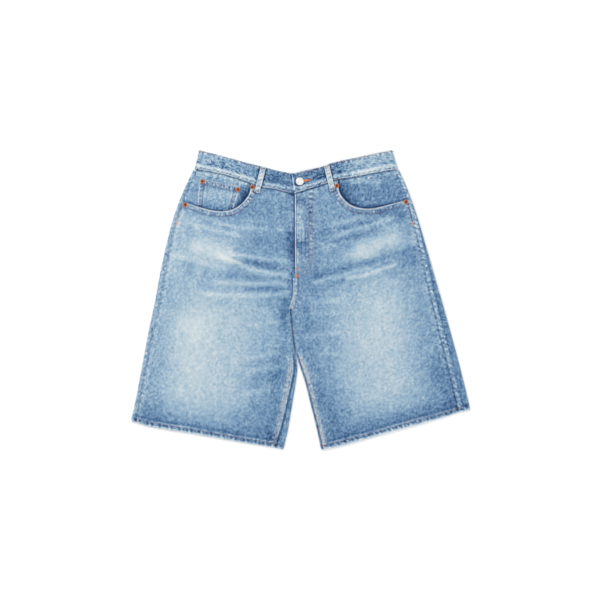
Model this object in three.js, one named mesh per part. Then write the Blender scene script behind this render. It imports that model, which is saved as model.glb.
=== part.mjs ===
// Denim shorts laid flat, front side up.
// Millimetres. +X is the right of the laid garment (the wearer's left), +Y the waist, +Z up from the surface.
// The tables are in the frame of the laid garment; the group is moved so that its box stands on the origin.

import * as THREE from "three";

// Driving dimensions.
const CLOTH = 1.25; // wall of the washed denim
const SEAM_GAP = 0.3; // between pieces at a seam, and under what lies on a panel
const LAYERS_HIGH = 5.4; // outside height of front and back together at a side fold
const HEM_WALL = 2.7; // turned hem
const HEM_HIGH = 6.6; // outside height of both hems
const HEM_DEEP = 10.5;
const TURN_SLOPE = 1.2; // width of the step at the edge of a turned hem
const SCOOP_DEEP = 9.5; // turned edge of a pocket mouth
const SCOOP_PROUD = 0.5; // the turned edge stands above the panel by this much
const SCOOP_UNDER = 0.45; // and reaches below the panel's inner face by this much
const FLY_WIDE = 37;
const FLY_TURN_HIGH = 90; // where the fly's stitch line starts to turn in
const FLY_FOOT = 52;
const FLY_PROUD = 1.2; // folded fly against the single front
const BAND_WALL = 2.4;
const BAND_HIGH = 6.6; // outside height of the flattened waistband
const BAND_UNDERLAP = 20; // where the lower end of the waistband stops
const BAND_RISE = { from: 46, to: 24 }; // where the upper end climbs over the lower one
const HIP_LIFT = 1.6; // the seat is this far up, on its pockets and belt loops
const HIP_LIFT_FROM = -75;
const HIP_LIFT_TO = -25;
const FACING_SUNK = 0.8; // pocket facing below the front panel
const COIN_WALL = 1.2;
const PATCH_WALL = 1.3; // back pockets and the belt loops under the garment
const LOOP_WIDE = 11.3;
const LOOP_WALL = 1.6;
const LOOP_SLACK = 1.3;
const LOOP_BELOW = 7.8; // underside of a belt loop's lower end
const RIVET_R = 4.8;
const RIVET_HIGH = 1.5;
const BUTTON_R = 8.4;
const BUTTON_HIGH = 3.6;
const CROTCH = { x: -20, y: -20 };
const SLOPE_PROBE = 4; // how far above and below a point its side fold's slope is read
const FLY_EDGE = { from: 0.85, to: 1.15 }; // shares of the fly's width over which its step eases out
// Distances from the side folds, from the inner folds and heights below the waist where the folds fade out.
const FOLD_FADE = { outer: { from: 8, to: 34 }, inner: { from: 5, to: 26 }, waist: { from: 165, to: 190 } };

// Facets and rows.
const FOLD_STEPS = 4; // facets round a fold
const LEG_ROWS = 24;
const ROW_CLEAR = 0.4; // share of a row's length kept clear beside a set row
const BACK_COLUMNS = { panel: 8, yoke: 18 };
const FRONT_COLUMNS = { waist: 8, scoop: 14 };
const YOKE_ROWS = 3;
const COIN_GRID = { columns: 7, rows: 3 };
const BAND_COLUMNS = { front: 18, back: 30 };
const BAND_ROWS = 2;
const BAND_CROWDING = 0.9; // below 1, the columns stand closer together towards the upper end
const RIVET_FACETS = 14;
const BUTTON_FACETS = 28;

// Where seams and layers meet.
const CROTCH_STEP = 4; // the layers part over this length above the crotch
const SCOOP_SHARE = 0.38; // share of a front's columns that end at the waistband
const INNER_STRIP = 6; // width of a back piece's first columns beside the centre seam
const FACING_CORNER = 1; // length of a facing's inner edge under the waistband
const BACK_LOOP_INSET = 1; // from the band's upper edge to the end of a belt loop under it

// The outline. "right" and "left" are the wearer's sides: right lies towards -X.
const SIDE = { right: -1, left: 1 };

// Side folds, from hem to waistband, and how far inside them the outer seam lies.
const OUTER = {
  right: [
    { y: -254.3, x: -355.5, seam: 8 },
    { y: -209, x: -345.4, seam: 7 },
    { y: -142, x: -332.8, seam: 7 },
    { y: -74.5, x: -320.2, seam: 8 },
    { y: -7, x: -305.6, seam: 9 },
    { y: 60, x: -293, seam: 9 },
    { y: 110, x: -282.4, seam: 8 },
    { y: 161, x: -269.8, seam: 6.5 },
    { y: 211, x: -253, seam: 7 },
    { y: 245, x: -238.2, seam: 7.5 },
    { y: 275, x: -223.6, seam: 8 },
  ],
  left: [
    { y: -229, x: 358, seam: 24 },
    { y: -192, x: 349.7, seam: 24 },
    { y: -125, x: 332.8, seam: 23.5 },
    { y: -58, x: 314.5, seam: 22 },
    { y: 9.5, x: 295.2, seam: 19 },
    { y: 60, x: 280.4, seam: 16.5 },
    { y: 110, x: 266, seam: 13 },
    { y: 161, x: 251, seam: 11 },
    { y: 211, x: 234.4, seam: 8 },
    { y: 245, x: 221.4, seam: 7.5 },
    { y: 275, x: 207.4, seam: 8 },
  ],
};

// Inner folds of the legs, from hem to crotch, and how far inside them the inner seam lies.
const INNER = {
  right: [
    { y: -313.1, x: -35.5, seam: 15 },
    { y: -276, x: -26.2, seam: 13 },
    { y: -226, x: -17.8, seam: 9 },
    { y: -175, x: -9.6, seam: 6 },
    { y: -142, x: -5.8, seam: 4.5 },
    { y: -107, x: -10.4, seam: 3.6 },
    { y: -60, x: -16.2, seam: 3.4 },
    { y: CROTCH.y, x: CROTCH.x, seam: 3.4 },
  ],
  left: [
    { y: -314.6, x: 44.7, seam: 4.2 },
    { y: -276, x: 36.4, seam: 3.6 },
    { y: -226, x: 24.2, seam: 3.4 },
    { y: -175, x: 11.4, seam: 3.4 },
    { y: -142, x: 0.8, seam: 3.4 },
    { y: -107, x: -9.6, seam: 3.4 },
    { y: -60, x: -15.6, seam: 3.4 },
    { y: CROTCH.y, x: CROTCH.x, seam: 3.4 },
  ],
};

// Hem lines, from the inner fold to the outer one.
const HEM = {
  right: [
    { x: -355.5, y: -254.3 },
    { x: -325.5, y: -263 },
    { x: -225, y: -280.4 },
    { x: -124, y: -298.6 },
    { x: -35.5, y: -313.1 },
  ],
  left: [
    { x: 44.7, y: -314.6 },
    { x: 90, y: -304 },
    { x: 191, y: -276.6 },
    { x: 292, y: -248.8 },
    { x: 358, y: -229 },
  ],
};

// Centre front: the edge of the fly, then the rise seam down to the crotch.
const CENTRE = [
  { y: CROTCH.y, x: CROTCH.x },
  { y: 1, x: -12.6 },
  { y: 20, x: -9.4 },
  { y: 60, x: -10.2 },
  { y: 130, x: -10.7 },
  { y: 240, x: -10.7 },
];

// Waistband: its upper edge and its lower seam, side to side.
const BAND_TOP = [
  { x: -211.6, y: 316.2 },
  { x: -161, y: 303 },
  { x: -116, y: 290.4 },
  { x: -82, y: 281.6 },
  { x: -37, y: 270.2 },
  { x: -14.7, y: 266.9 },
  { x: 6, y: 271.5 },
  { x: 49.4, y: 281.8 },
  { x: 66.4, y: 288.4 },
  { x: 118.6, y: 300.6 },
  { x: 161, y: 309.8 },
  { x: 193.4, y: 316.2 },
];
const BAND_SEAM = [
  { x: -221.6, y: 275 },
  { x: -161, y: 264 },
  { x: -114.5, y: 249.5 },
  { x: -77.5, y: 236.6 },
  { x: -50, y: 231.8 },
  { x: -14, y: 224.6 },
  { x: 20, y: 233.5 },
  { x: 46.4, y: 241.7 },
  { x: 76.4, y: 252.6 },
  { x: 120.8, y: 259.8 },
  { x: 160.6, y: 267.8 },
  { x: 205.4, y: 275 },
];
const BAND_SIDES = {
  right: { top: { x: -211.6, y: 316.2 }, foot: { x: -221.6, y: 275 } },
  left: { top: { x: 193.4, y: 316.2 }, foot: { x: 205.4, y: 275 } },
};
const BAND_END = { top: { x: -19, y: 266.8 }, foot: { x: -11.6, y: 225.6 } };

// Pocket mouths, from the waistband to the outer seam.
const SCOOP = {
  right: [
    { x: -102.4, y: 246 },
    { x: -103.8, y: 234 },
    { x: -107.3, y: 223.2 },
    { x: -115.7, y: 210.6 },
    { x: -127.5, y: 199.5 },
    { x: -139.2, y: 192.4 },
    { x: -154.4, y: 188.4 },
    { x: -170.5, y: 187.5 },
    { x: -202.2, y: 194 },
    { x: -246.6, y: 209.4 },
  ],
  left: [
    { x: 79, y: 253 },
    { x: 80.4, y: 238 },
    { x: 84.4, y: 223.9 },
    { x: 92.8, y: 212.3 },
    { x: 103.3, y: 202.9 },
    { x: 115.9, y: 197 },
    { x: 132.7, y: 193.4 },
    { x: 152.7, y: 193.6 },
    { x: 192.4, y: 203.5 },
    { x: 226.4, y: 213.6 },
  ],
};

// Yoke seam under the garment.
const YOKE = { centre: 158, side: 232 };

// Coin pocket on the right facing.
const COIN = {
  topOuter: { x: -210.8, y: 256.4 },
  topInner: { x: -125, y: 237.4 },
  footOuter: -216.4,
  footInner: -139.6,
};

// Back pockets: mouth height, centre and sizes of a plain five-sided patch.
const BACK_POCKET = { mouth: 138, wide: 148, footWide: 128, deep: 138, point: 16 };
const BACK_POCKET_AT = { right: -124, left: 112 };

// Belt loops: where each one's centre line starts and ends.
const FRONT_LOOPS = {
  right: { top: { x: -76.7, y: 279.8 }, foot: { x: -90.4, y: 226.6 } },
  left: { top: { x: 55.4, y: 284 }, foot: { x: 68.5, y: 230.6 } },
};
const BACK_LOOPS = { side_right: -150, centre: -8, side_left: 134 };
const BACK_LOOP_LONG = 52;

// Rivets and what each one sits on.
const RIVETS = [
  { name: "right_pocket_waist", x: -100, y: 238, on: "panel" },
  { name: "right_pocket_side", x: -241, y: 200.6, on: "panel" },
  { name: "left_pocket_waist", x: 77.4, y: 240.7, on: "panel" },
  { name: "left_pocket_side", x: 223, y: 207, on: "panel" },
  { name: "coin_outer", x: -205, y: 249.8, on: "coin" },
  { name: "coin_inner", x: -130.2, y: 232.8, on: "coin" },
];
const BUTTON_AT = { x: -0.4, y: 249.6 };

// The largest folds of the front: soft ridges from one point to another.
const FOLDS = [
  { x1: -238, y1: 126, x2: -116, y2: 82, wide: 20, high: 2.6 },
  { x1: -235, y1: 165, x2: -141, y2: 141, wide: 11, high: 1.4 },
  { x1: -127, y1: 153, x2: -42, y2: 153, wide: 10, high: 1.2 },
  { x1: -141, y1: 98, x2: -34, y2: 84, wide: 10, high: 1.3 },
  { x1: -172, y1: 38, x2: -42, y2: 34, wide: 11, high: 1.5 },
  { x1: -160, y1: 8, x2: -38, y2: 12, wide: 9, high: 1 },
  { x1: -225, y1: -10, x2: -235, y2: -215, wide: 58, high: 1.8 },
  { x1: -88, y1: -46, x2: -40, y2: -40, wide: 10, high: 1.3 },
  { x1: -112, y1: -124, x2: -44, y2: -111, wide: 12, high: 1.7 },
  { x1: 64, y1: 157, x2: 123, y2: 174, wide: 10, high: 1.2 },
  { x1: 89, y1: 138, x2: 190, y2: 158, wide: 10, high: 1 },
  { x1: 84, y1: 88, x2: 216, y2: 146, wide: 20, high: 2.6 },
  { x1: 102, y1: 48, x2: 196, y2: 73, wide: 12, high: 1.6 },
  { x1: 30, y1: -5, x2: 87, y2: 0, wide: 9, high: 1 },
  { x1: 30, y1: -70, x2: 74, y2: -69, wide: 9, high: 1 },
  { x1: 30, y1: -112, x2: 74, y2: -110, wide: 9, high: 1 },
  { x1: 165, y1: -20, x2: 215, y2: -190, wide: 58, high: 1.8 },
];

// Colours.
const DENIM = new THREE.MeshStandardMaterial({ color: 0x8fafc6, roughness: 0.92, metalness: 0 });
const DENIM_DARK = new THREE.MeshStandardMaterial({ color: 0x7b9cb9, roughness: 0.92, metalness: 0 });
const COPPER = new THREE.MeshStandardMaterial({ color: 0x9a6a4b, roughness: 0.45, metalness: 0.9 });
const SILVER = new THREE.MeshStandardMaterial({ color: 0xc9c9c6, roughness: 0.35, metalness: 0.95 });

const UP = new THREE.Vector3(0, 0, 1);

// Helpers: numbers and lines.

function smoothstep(from, to, at) {
  const t = THREE.MathUtils.clamp((at - from) / (to - from), 0, 1);
  return t * t * (3 - 2 * t);
}

// A smooth function through a table's rows: cubic pieces whose slope at a row is its neighbours' chord.
function through(table, key, value) {
  const rows = [...table].sort((a, b) => a[key] - b[key]);
  const slopes = rows.map((row, i) => {
    const before = rows[Math.max(i - 1, 0)];
    const after = rows[Math.min(i + 1, rows.length - 1)];
    return (after[value] - before[value]) / (after[key] - before[key]);
  });
  return (at) => {
    let i = 0;
    while (i < rows.length - 2 && at > rows[i + 1][key]) i += 1;
    const step = rows[i + 1][key] - rows[i][key];
    const t = THREE.MathUtils.clamp((at - rows[i][key]) / step, 0, 1);
    const a = 2 * t ** 3 - 3 * t ** 2 + 1;
    const b = t ** 3 - 2 * t ** 2 + t;
    const c = 3 * t ** 2 - 2 * t ** 3;
    const d = t ** 3 - t ** 2;
    return a * rows[i][value] + b * step * slopes[i] + c * rows[i + 1][value] + d * step * slopes[i + 1];
  };
}

const mix = (a, b, t) => a + (b - a) * t;
const mixPoint = (a, b, t) => new THREE.Vector2(mix(a.x, b.x, t), mix(a.y, b.y, t));

const centreX = through(CENTRE, "y", "x");
const bandTopY = through(BAND_TOP, "x", "y");
const bandSeamY = through(BAND_SEAM, "x", "y");
const bandRise = (x) => (BAND_WALL + SEAM_GAP) * (1 - smoothstep(BAND_RISE.to, BAND_RISE.from, x));
const hipLift = (y) => HIP_LIFT * smoothstep(HIP_LIFT_FROM, HIP_LIFT_TO, y);

// The folds of one side: point, inward normal and seam distance at a height.
function foldLine(table, inward) {
  const xAt = through(table, "y", "x");
  const seamAt = through(table, "y", "seam");
  const lowest = table[0].y;
  const highest = table.at(-1).y;
  return (y) => {
    const above = Math.min(y + SLOPE_PROBE, highest);
    const below = Math.max(y - SLOPE_PROBE, lowest);
    const slope = (xAt(above) - xAt(below)) / (above - below);
    const normal = new THREE.Vector2(1, -slope).normalize().multiplyScalar(inward);
    return { point: new THREE.Vector2(xAt(y), y), normal, seam: seamAt(y) };
  };
}

const outerFold = {};
const innerFold = {};
const hemY = {};
for (const [side, sign] of Object.entries(SIDE)) {
  outerFold[side] = foldLine(OUTER[side], -sign);
  innerFold[side] = foldLine(INNER[side], sign);
  hemY[side] = through(HEM[side], "x", "y");
}

// Height of the folds above the plain front at a point, none near the side and inner folds.
function foldRelief(x, y) {
  const outer = Math.min(x - outerFold.right(y).point.x, outerFold.left(y).point.x - x);
  const side = x < centreX(Math.max(y, CROTCH.y)) ? "right" : "left";
  const inner = y < CROTCH.y ? Math.abs(x - innerFold[side](y).point.x) : Infinity;
  let high = 0;
  for (const fold of FOLDS) {
    const along = new THREE.Vector2(fold.x2 - fold.x1, fold.y2 - fold.y1);
    const from = new THREE.Vector2(x - fold.x1, y - fold.y1);
    const t = THREE.MathUtils.clamp(from.dot(along) / along.lengthSq(), 0, 1);
    const away = from.addScaledVector(along, -t).length();
    high += fold.high * Math.exp(-((away / fold.wide) ** 2));
  }
  const fade = (range, at) => smoothstep(range.from, range.to, at);
  const waist = 1 - fade(FOLD_FADE.waist, y);
  return high * fade(FOLD_FADE.outer, outer) * fade(FOLD_FADE.inner, inner) * waist;
}

// How much of the folded fly lies under a point of the left front: 1 inside its stitch line, 0 outside.
function flyShare(x, y) {
  const across = (x - centreX(y)) / FLY_WIDE;
  const down = Math.max(0, FLY_TURN_HIGH - y) / (FLY_TURN_HIGH - FLY_FOOT);
  return 1 - smoothstep(FLY_EDGE.from, FLY_EDGE.to, Math.hypot(across, down));
}

// Sheets.

// A closed wall from rows of stations, each with its outer point, its outward direction and its thickness.
function wall(name, rows, material) {
  const tall = rows.length;
  const wide = rows[0].length;
  const count = tall * wide;
  const positions = new Float32Array(count * 2 * 3);
  rows.forEach((row, i) =>
    row.forEach((station, j) => {
      const inner = station.point.clone().addScaledVector(station.out, -station.thick);
      station.point.toArray(positions, (i * wide + j) * 3);
      inner.toArray(positions, (count + i * wide + j) * 3);
    }),
  );
  const index = [];
  const quad = (a, b, c, d) => index.push(a, b, c, a, c, d);
  const at = (i, j) => i * wide + j;
  for (let i = 0; i < tall - 1; i += 1) {
    for (let j = 0; j < wide - 1; j += 1) {
      quad(at(i, j), at(i + 1, j), at(i + 1, j + 1), at(i, j + 1));
      quad(count + at(i, j), count + at(i, j + 1), count + at(i + 1, j + 1), count + at(i + 1, j));
    }
  }
  const rim = [];
  for (let j = 0; j < wide - 1; j += 1) rim.push(at(0, j));
  for (let i = 0; i < tall - 1; i += 1) rim.push(at(i, wide - 1));
  for (let j = wide - 1; j > 0; j -= 1) rim.push(at(tall - 1, j));
  for (let i = tall - 1; i > 0; i -= 1) rim.push(at(i, 0));
  rim.forEach((a, k) => {
    const b = rim[(k + 1) % rim.length];
    quad(a, b, count + b, count + a);
  });
  return closedMesh(name, positions, index, material);
}

// A mesh with its faces turned outwards.
function closedMesh(name, positions, index, material) {
  const corner = (k) => new THREE.Vector3().fromArray(positions, index[k] * 3);
  let volume = 0;
  for (let k = 0; k < index.length; k += 3) {
    volume += corner(k).dot(corner(k + 1).cross(corner(k + 2)));
  }
  const faces = volume > 0 ? index : index.reverse();
  const geometry = new THREE.BufferGeometry();
  geometry.setAttribute("position", new THREE.BufferAttribute(positions, 3));
  geometry.setIndex(faces);
  return solid(name, geometry, material);
}

function solid(name, geometry, material) {
  geometry.computeVertexNormals();
  const mesh = new THREE.Mesh(geometry, material);
  mesh.name = name;
  return mesh;
}

const station = (x, y, z, thick, out = UP) => ({ point: new THREE.Vector3(x, y, z), out, thick });

// A point on a fold of the two layers, angle -90 at the bottom face and 90 at the top face.
function foldStation(fold, high, angle, thick) {
  const radius = high / 2;
  const inside = radius * (1 - Math.cos(angle));
  const x = fold.point.x + fold.normal.x * inside;
  const y = fold.point.y + fold.normal.y * inside;
  const out = new THREE.Vector3(
    -fold.normal.x * Math.cos(angle),
    -fold.normal.y * Math.cos(angle),
    Math.sin(angle),
  );
  return station(x, y, hipLift(fold.point.y) + radius * (1 + Math.sin(angle)), thick, out);
}

const insideFold = (fold, distance) => fold.point.clone().addScaledVector(fold.normal, distance);

const waistMiddleY = bandSeamY(CENTRE.at(-1).x) - SEAM_GAP / 2;

// Rows of a leg from pocket mouth to hem: the heights of their inner and outer ends. Front and back share
// them, so that the two meet along the outer and inner seams.
function legRows(side) {
  const hemIn = INNER[side][0].y;
  const hemOut = OUTER[side][0].y;
  const mouthY = SCOOP[side].at(-1).y;
  const longIn = waistMiddleY - hemIn;
  const longOut = mouthY - hemOut;
  const crotch = (waistMiddleY - CROTCH.y) / longIn;
  const set = [0, SCOOP_DEEP / longIn, (SCOOP_DEEP + TURN_SLOPE) / longIn, crotch - CROTCH_STEP / longIn, crotch];
  const last = 1 - (HEM_DEEP + TURN_SLOPE) / longIn;
  const shares = [...set];
  for (let k = 1; k < LEG_ROWS; k += 1) {
    const share = (last * k) / LEG_ROWS;
    if (set.every((other) => Math.abs(other - share) > ROW_CLEAR / LEG_ROWS)) shares.push(share);
  }
  shares.sort((a, b) => a - b);
  const rows = shares.map((share) => ({
    share,
    yIn: waistMiddleY - share * longIn,
    yOut: mouthY - share * longOut,
    turned: share <= set[1],
    aboveCrotch: share < crotch - 0.001,
    hem: false,
  }));
  for (const deep of [HEM_DEEP + TURN_SLOPE, HEM_DEEP, 0]) {
    const hem = deep <= HEM_DEEP;
    rows.push({ share: 1 - deep / longIn, yIn: hemIn + deep, yOut: hemOut + deep, hem });
  }
  return rows;
}

// Front panels.

const scoopCurve = {};
for (const side of Object.keys(SIDE)) {
  const points = SCOOP[side].map((row) => new THREE.Vector3(row.x, row.y, 0));
  scoopCurve[side] = new THREE.CatmullRomCurve3(points);
}

// A point of the pocket mouth, moved square to it: plus is away from the panel.
function scoopPoint(side, share, away) {
  const at = scoopCurve[side].getPointAt(share);
  const along = scoopCurve[side].getTangentAt(share);
  const square = new THREE.Vector2(-along.y, along.x).multiplyScalar(SIDE[side]);
  return new THREE.Vector2(at.x, at.y).addScaledVector(square, away);
}

// The same, with the mouth's last stretch drawn to where it meets the outer seam.
function mouthPoint(side, share, away, end) {
  const settle = end.clone().sub(scoopPoint(side, 1, away));
  return scoopPoint(side, share, away).addScaledVector(settle, share ** 4);
}

function frontColumns() {
  const columns = [];
  for (let k = 0; k < FRONT_COLUMNS.waist; k += 1) {
    columns.push({ share: (SCOOP_SHARE * k) / FRONT_COLUMNS.waist, scoop: null });
  }
  for (let k = 0; k <= FRONT_COLUMNS.scoop; k += 1) {
    const scoop = k / FRONT_COLUMNS.scoop;
    columns.push({ share: mix(SCOOP_SHARE, 1, scoop), scoop });
  }
  return columns;
}

// The front's inner boundary: the fly or rise seam, then the inner seam inside the leg's fold.
function frontInner(side, y) {
  const sign = SIDE[side];
  if (y > CROTCH.y + 0.5) return new THREE.Vector2(centreX(y) + (sign * SEAM_GAP) / 2, y);
  const fold = innerFold[side](y);
  return insideFold(fold, fold.seam + SEAM_GAP / 2);
}

// The hem's height above the straight line between its ends, at a share of the way across the leg.
function hemBow(side, share) {
  const from = INNER[side][0];
  const to = OUTER[side][0];
  return hemY[side](mix(from.x, to.x, share)) - mix(from.y, to.y, share);
}

function frontPanel(side) {
  const rows = legRows(side);
  const columns = frontColumns();
  const innerAt = (row) => frontInner(side, row.yIn);
  const outerAt = (row) => {
    const fold = outerFold[side](row.yOut);
    return insideFold(fold, fold.seam + SEAM_GAP / 2);
  };
  const topIn = innerAt(rows[0]);
  const topOut = outerAt(rows[0]);
  const mouthStart = scoopPoint(side, 0, -SEAM_GAP / 2);

  const topEdge = (column) => {
    const x = mix(topIn.x, mouthStart.x, column.share / SCOOP_SHARE);
    let at = new THREE.Vector2(x, bandSeamY(x) - SEAM_GAP / 2);
    if (column.scoop !== null) at = mouthPoint(side, column.scoop, -SEAM_GAP / 2, topOut);
    at.y = Math.min(at.y, bandSeamY(at.x) - SEAM_GAP / 2);
    return at;
  };

  return wall(
    `front_panel_${side}`,
    rows.map((row) =>
      columns.map((column) => {
        const ruled = mixPoint(innerAt(row), outerAt(row), column.share);
        const topBow = topEdge(column).sub(mixPoint(topIn, topOut, column.share));
        const at = ruled.addScaledVector(topBow, 1 - row.share);
        at.y += hemBow(side, column.share) * row.share;
        const turned = column.scoop !== null && row.turned;
        const fly = side === "left" && !row.hem ? FLY_PROUD * flyShare(at.x, at.y) : 0;
        const proud = (turned ? SCOOP_PROUD : 0) + fly;
        const thick = row.hem ? HEM_WALL : CLOTH + proud + (turned ? SCOOP_UNDER : 0);
        const high = row.hem ? HEM_HIGH : LAYERS_HIGH + proud;
        return station(at.x, at.y, hipLift(at.y) + high + foldRelief(at.x, at.y), thick);
      }),
    ),
    DENIM,
  );
}

// Back panels and yokes.

const DOWN = UP.clone().negate();

// One row of a back piece, from its inner edge under the garment, round the side fold, to the outer seam.
// Below the crotch it starts on top, at the inner seam, and comes round the leg's inner fold.
function backRow(side, row, columns, bow) {
  const high = row.hem ? HEM_HIGH : LAYERS_HIGH;
  const thick = row.hem ? HEM_WALL : CLOTH;
  const stations = [];
  if (row.aboveCrotch) {
    for (let k = 0; k <= FOLD_STEPS + 1; k += 1) {
      const x = centreX(row.yIn) + SIDE[side] * (SEAM_GAP / 2 + (INNER_STRIP * k) / (FOLD_STEPS + 1));
      stations.push(station(x, row.yIn, hipLift(row.yIn), thick, DOWN));
    }
  } else {
    const fold = innerFold[side](row.yIn);
    const end = insideFold(fold, fold.seam - SEAM_GAP / 2);
    stations.push(station(end.x, end.y, hipLift(row.yIn) + high, thick));
    for (let k = 0; k <= FOLD_STEPS; k += 1) {
      stations.push(foldStation(fold, high, Math.PI * (0.5 - k / FOLD_STEPS), thick));
    }
  }
  const fold = outerFold[side](row.yOut);
  const start = stations.at(-1).point.clone();
  const turn = foldStation(fold, high, -Math.PI / 2, thick).point;
  for (let k = 1; k < columns; k += 1) {
    const share = k / columns;
    const at = mixPoint(start, turn, share);
    at.y += bow(share, at.x, start, turn);
    stations.push(station(at.x, at.y, hipLift(at.y), thick, DOWN));
  }
  for (let k = 0; k <= FOLD_STEPS; k += 1) {
    stations.push(foldStation(fold, high, Math.PI * (k / FOLD_STEPS - 0.5), thick));
  }
  const end = insideFold(fold, fold.seam - SEAM_GAP / 2);
  stations.push(station(end.x, end.y, hipLift(row.yOut) + high, thick));
  return stations;
}

// Heights of the yoke's rows at the side, and of the rows between it and the pocket mouth.
function yokeSideRows(side) {
  const top = OUTER[side].at(-1).y - 2 * SEAM_GAP;
  return Array.from({ length: YOKE_ROWS + 1 }, (_, k) => mix(top, YOKE.side, k / YOKE_ROWS));
}

function backYoke(side) {
  const rows = yokeSideRows(side).map((yOut, k, all) => {
    const share = k / YOKE_ROWS;
    const row = {
      yIn: mix(waistMiddleY - SEAM_GAP, YOKE.centre, share),
      yOut: yOut + (k === all.length - 1 ? SEAM_GAP : 0),
      aboveCrotch: true,
      hem: false,
    };
    const seamBow = (across, x, from, to) => {
      const ends = mix(bandSeamY(from.x) - from.y, bandSeamY(to.x) - to.y, across);
      return (bandSeamY(x) - ends - mix(from.y, to.y, across)) * (1 - share);
    };
    return backRow(side, row, BACK_COLUMNS.yoke, seamBow);
  });
  return wall(`back_yoke_${side}`, rows, DENIM_DARK);
}

function backPanel(side) {
  const shared = legRows(side);
  const join = shared.filter((row) => row.aboveCrotch).at(-1);
  const top = { yIn: YOKE.centre - SEAM_GAP, yOut: YOKE.side };
  const topRow = { share: 0, ...top, aboveCrotch: true, hem: false };
  const lower = shared.map((row) => {
    if (!row.aboveCrotch) return row;
    const yIn = mix(top.yIn, join.yIn, (top.yOut - row.yOut) / (top.yOut - join.yOut));
    return { ...row, yIn };
  });
  const rows = [topRow, ...lower].map((row) => {
    const bow = (across) => hemBow(side, across) * row.share;
    return backRow(side, row, BACK_COLUMNS.panel, bow);
  });
  return wall(`back_panel_${side}`, rows, DENIM_DARK);
}

// Plain patch pocket under the seat.
function backPocket(side) {
  const { mouth, wide, footWide, deep, point } = BACK_POCKET;
  const shape = new THREE.Shape([
    new THREE.Vector2(-wide / 2, 0),
    new THREE.Vector2(-footWide / 2, point - deep),
    new THREE.Vector2(0, -deep),
    new THREE.Vector2(footWide / 2, point - deep),
    new THREE.Vector2(wide / 2, 0),
  ]);
  const geometry = new THREE.ExtrudeGeometry(shape, { depth: PATCH_WALL, bevelEnabled: false });
  geometry.translate(BACK_POCKET_AT[side], mouth, 0);
  return solid(`back_pocket_${side}`, geometry, DENIM_DARK);
}

// Pocket facings and the coin pocket.

const FACING_TOP = HIP_LIFT + LAYERS_HIGH - FACING_SUNK;

function pocketFacing(side) {
  const mouthY = SCOOP[side].at(-1).y;
  const heights = [...yokeSideRows(side), mouthY];
  const sideAt = (y) => {
    const fold = outerFold[side](y);
    return insideFold(fold, fold.seam + SEAM_GAP / 2);
  };
  const start = scoopPoint(side, 0, SEAM_GAP / 2);
  const topEnd = sideAt(heights[0]);
  const footEnd = sideAt(mouthY).add(new THREE.Vector2(0, SEAM_GAP));
  const columns = frontColumns().filter((column) => column.scoop !== null);
  const rows = heights.map((y, i) => {
    const down = (heights[0] - y) / (heights[0] - mouthY);
    const sideEnd = i === heights.length - 1 ? footEnd : sideAt(y);
    const drawn = sideEnd.clone().sub(mixPoint(topEnd, footEnd, down));
    return columns.map((column) => {
      const x = mix(start.x, topEnd.x, column.scoop);
      const top = new THREE.Vector2(x, bandSeamY(x) - 2 * SEAM_GAP);
      const foot = mouthPoint(side, column.scoop, SEAM_GAP / 2, footEnd);
      if (column.scoop === 0) foot.y = top.y - FACING_CORNER;
      if (column.scoop === 1) top.copy(topEnd);
      const at = mixPoint(top, foot, down).addScaledVector(drawn, column.scoop ** 2);
      return station(at.x, at.y, FACING_TOP, CLOTH);
    });
  });
  return wall(`pocket_facing_${side}`, rows, DENIM);
}

function coinPocket() {
  const mouthY = through(SCOOP.right, "x", "y");
  const rows = [];
  for (let i = 0; i <= COIN_GRID.rows; i += 1) {
    const row = [];
    for (let j = 0; j <= COIN_GRID.columns; j += 1) {
      const across = j / COIN_GRID.columns;
      const top = mixPoint(COIN.topOuter, COIN.topInner, across);
      const x = mix(COIN.footOuter, COIN.footInner, across);
      const foot = new THREE.Vector2(x, mouthY(x) + 2 * SEAM_GAP);
      const at = mixPoint(top, foot, i / COIN_GRID.rows);
      row.push(station(at.x, at.y, FACING_TOP + SEAM_GAP + COIN_WALL, COIN_WALL));
    }
    rows.push(row);
  }
  return wall("coin_pocket", rows, DENIM);
}

// Waistband: one strip round the waist, its upper end over its lower end at the centre front.

function bandColumn(top, foot, high, out) {
  const column = [];
  for (let k = 0; k <= BAND_ROWS; k += 1) {
    const at = mixPoint(foot, top, k / BAND_ROWS);
    column.push(station(at.x, at.y, high, BAND_WALL, out));
  }
  return column;
}

// The band's fold at a side: a half circle in the plane square to the side edge.
function bandFold(side) {
  const { top, foot } = BAND_SIDES[side];
  const rise = new THREE.Vector2(top.x - foot.x, top.y - foot.y).normalize();
  const normal = new THREE.Vector2(rise.y, -rise.x).multiplyScalar(-SIDE[side]);
  const radius = BAND_HIGH / 2;
  return (angle) => {
    const inside = normal.clone().multiplyScalar(radius * (1 - Math.cos(angle)));
    const out = new THREE.Vector3(-normal.x * Math.cos(angle), -normal.y * Math.cos(angle), Math.sin(angle));
    const move = (point) => new THREE.Vector2(point.x, point.y).add(inside);
    const high = HIP_LIFT + radius * (1 + Math.sin(angle));
    const raised = new THREE.Vector2(foot.x, foot.y + SEAM_GAP / 2);
    return bandColumn(move(top), move(raised), high, out);
  };
}

function bandFlat(topX, footX, high, out) {
  const top = { x: topX, y: bandTopY(topX) };
  const foot = { x: footX, y: bandSeamY(footX) + SEAM_GAP / 2 };
  return bandColumn(top, foot, high, out);
}

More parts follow.
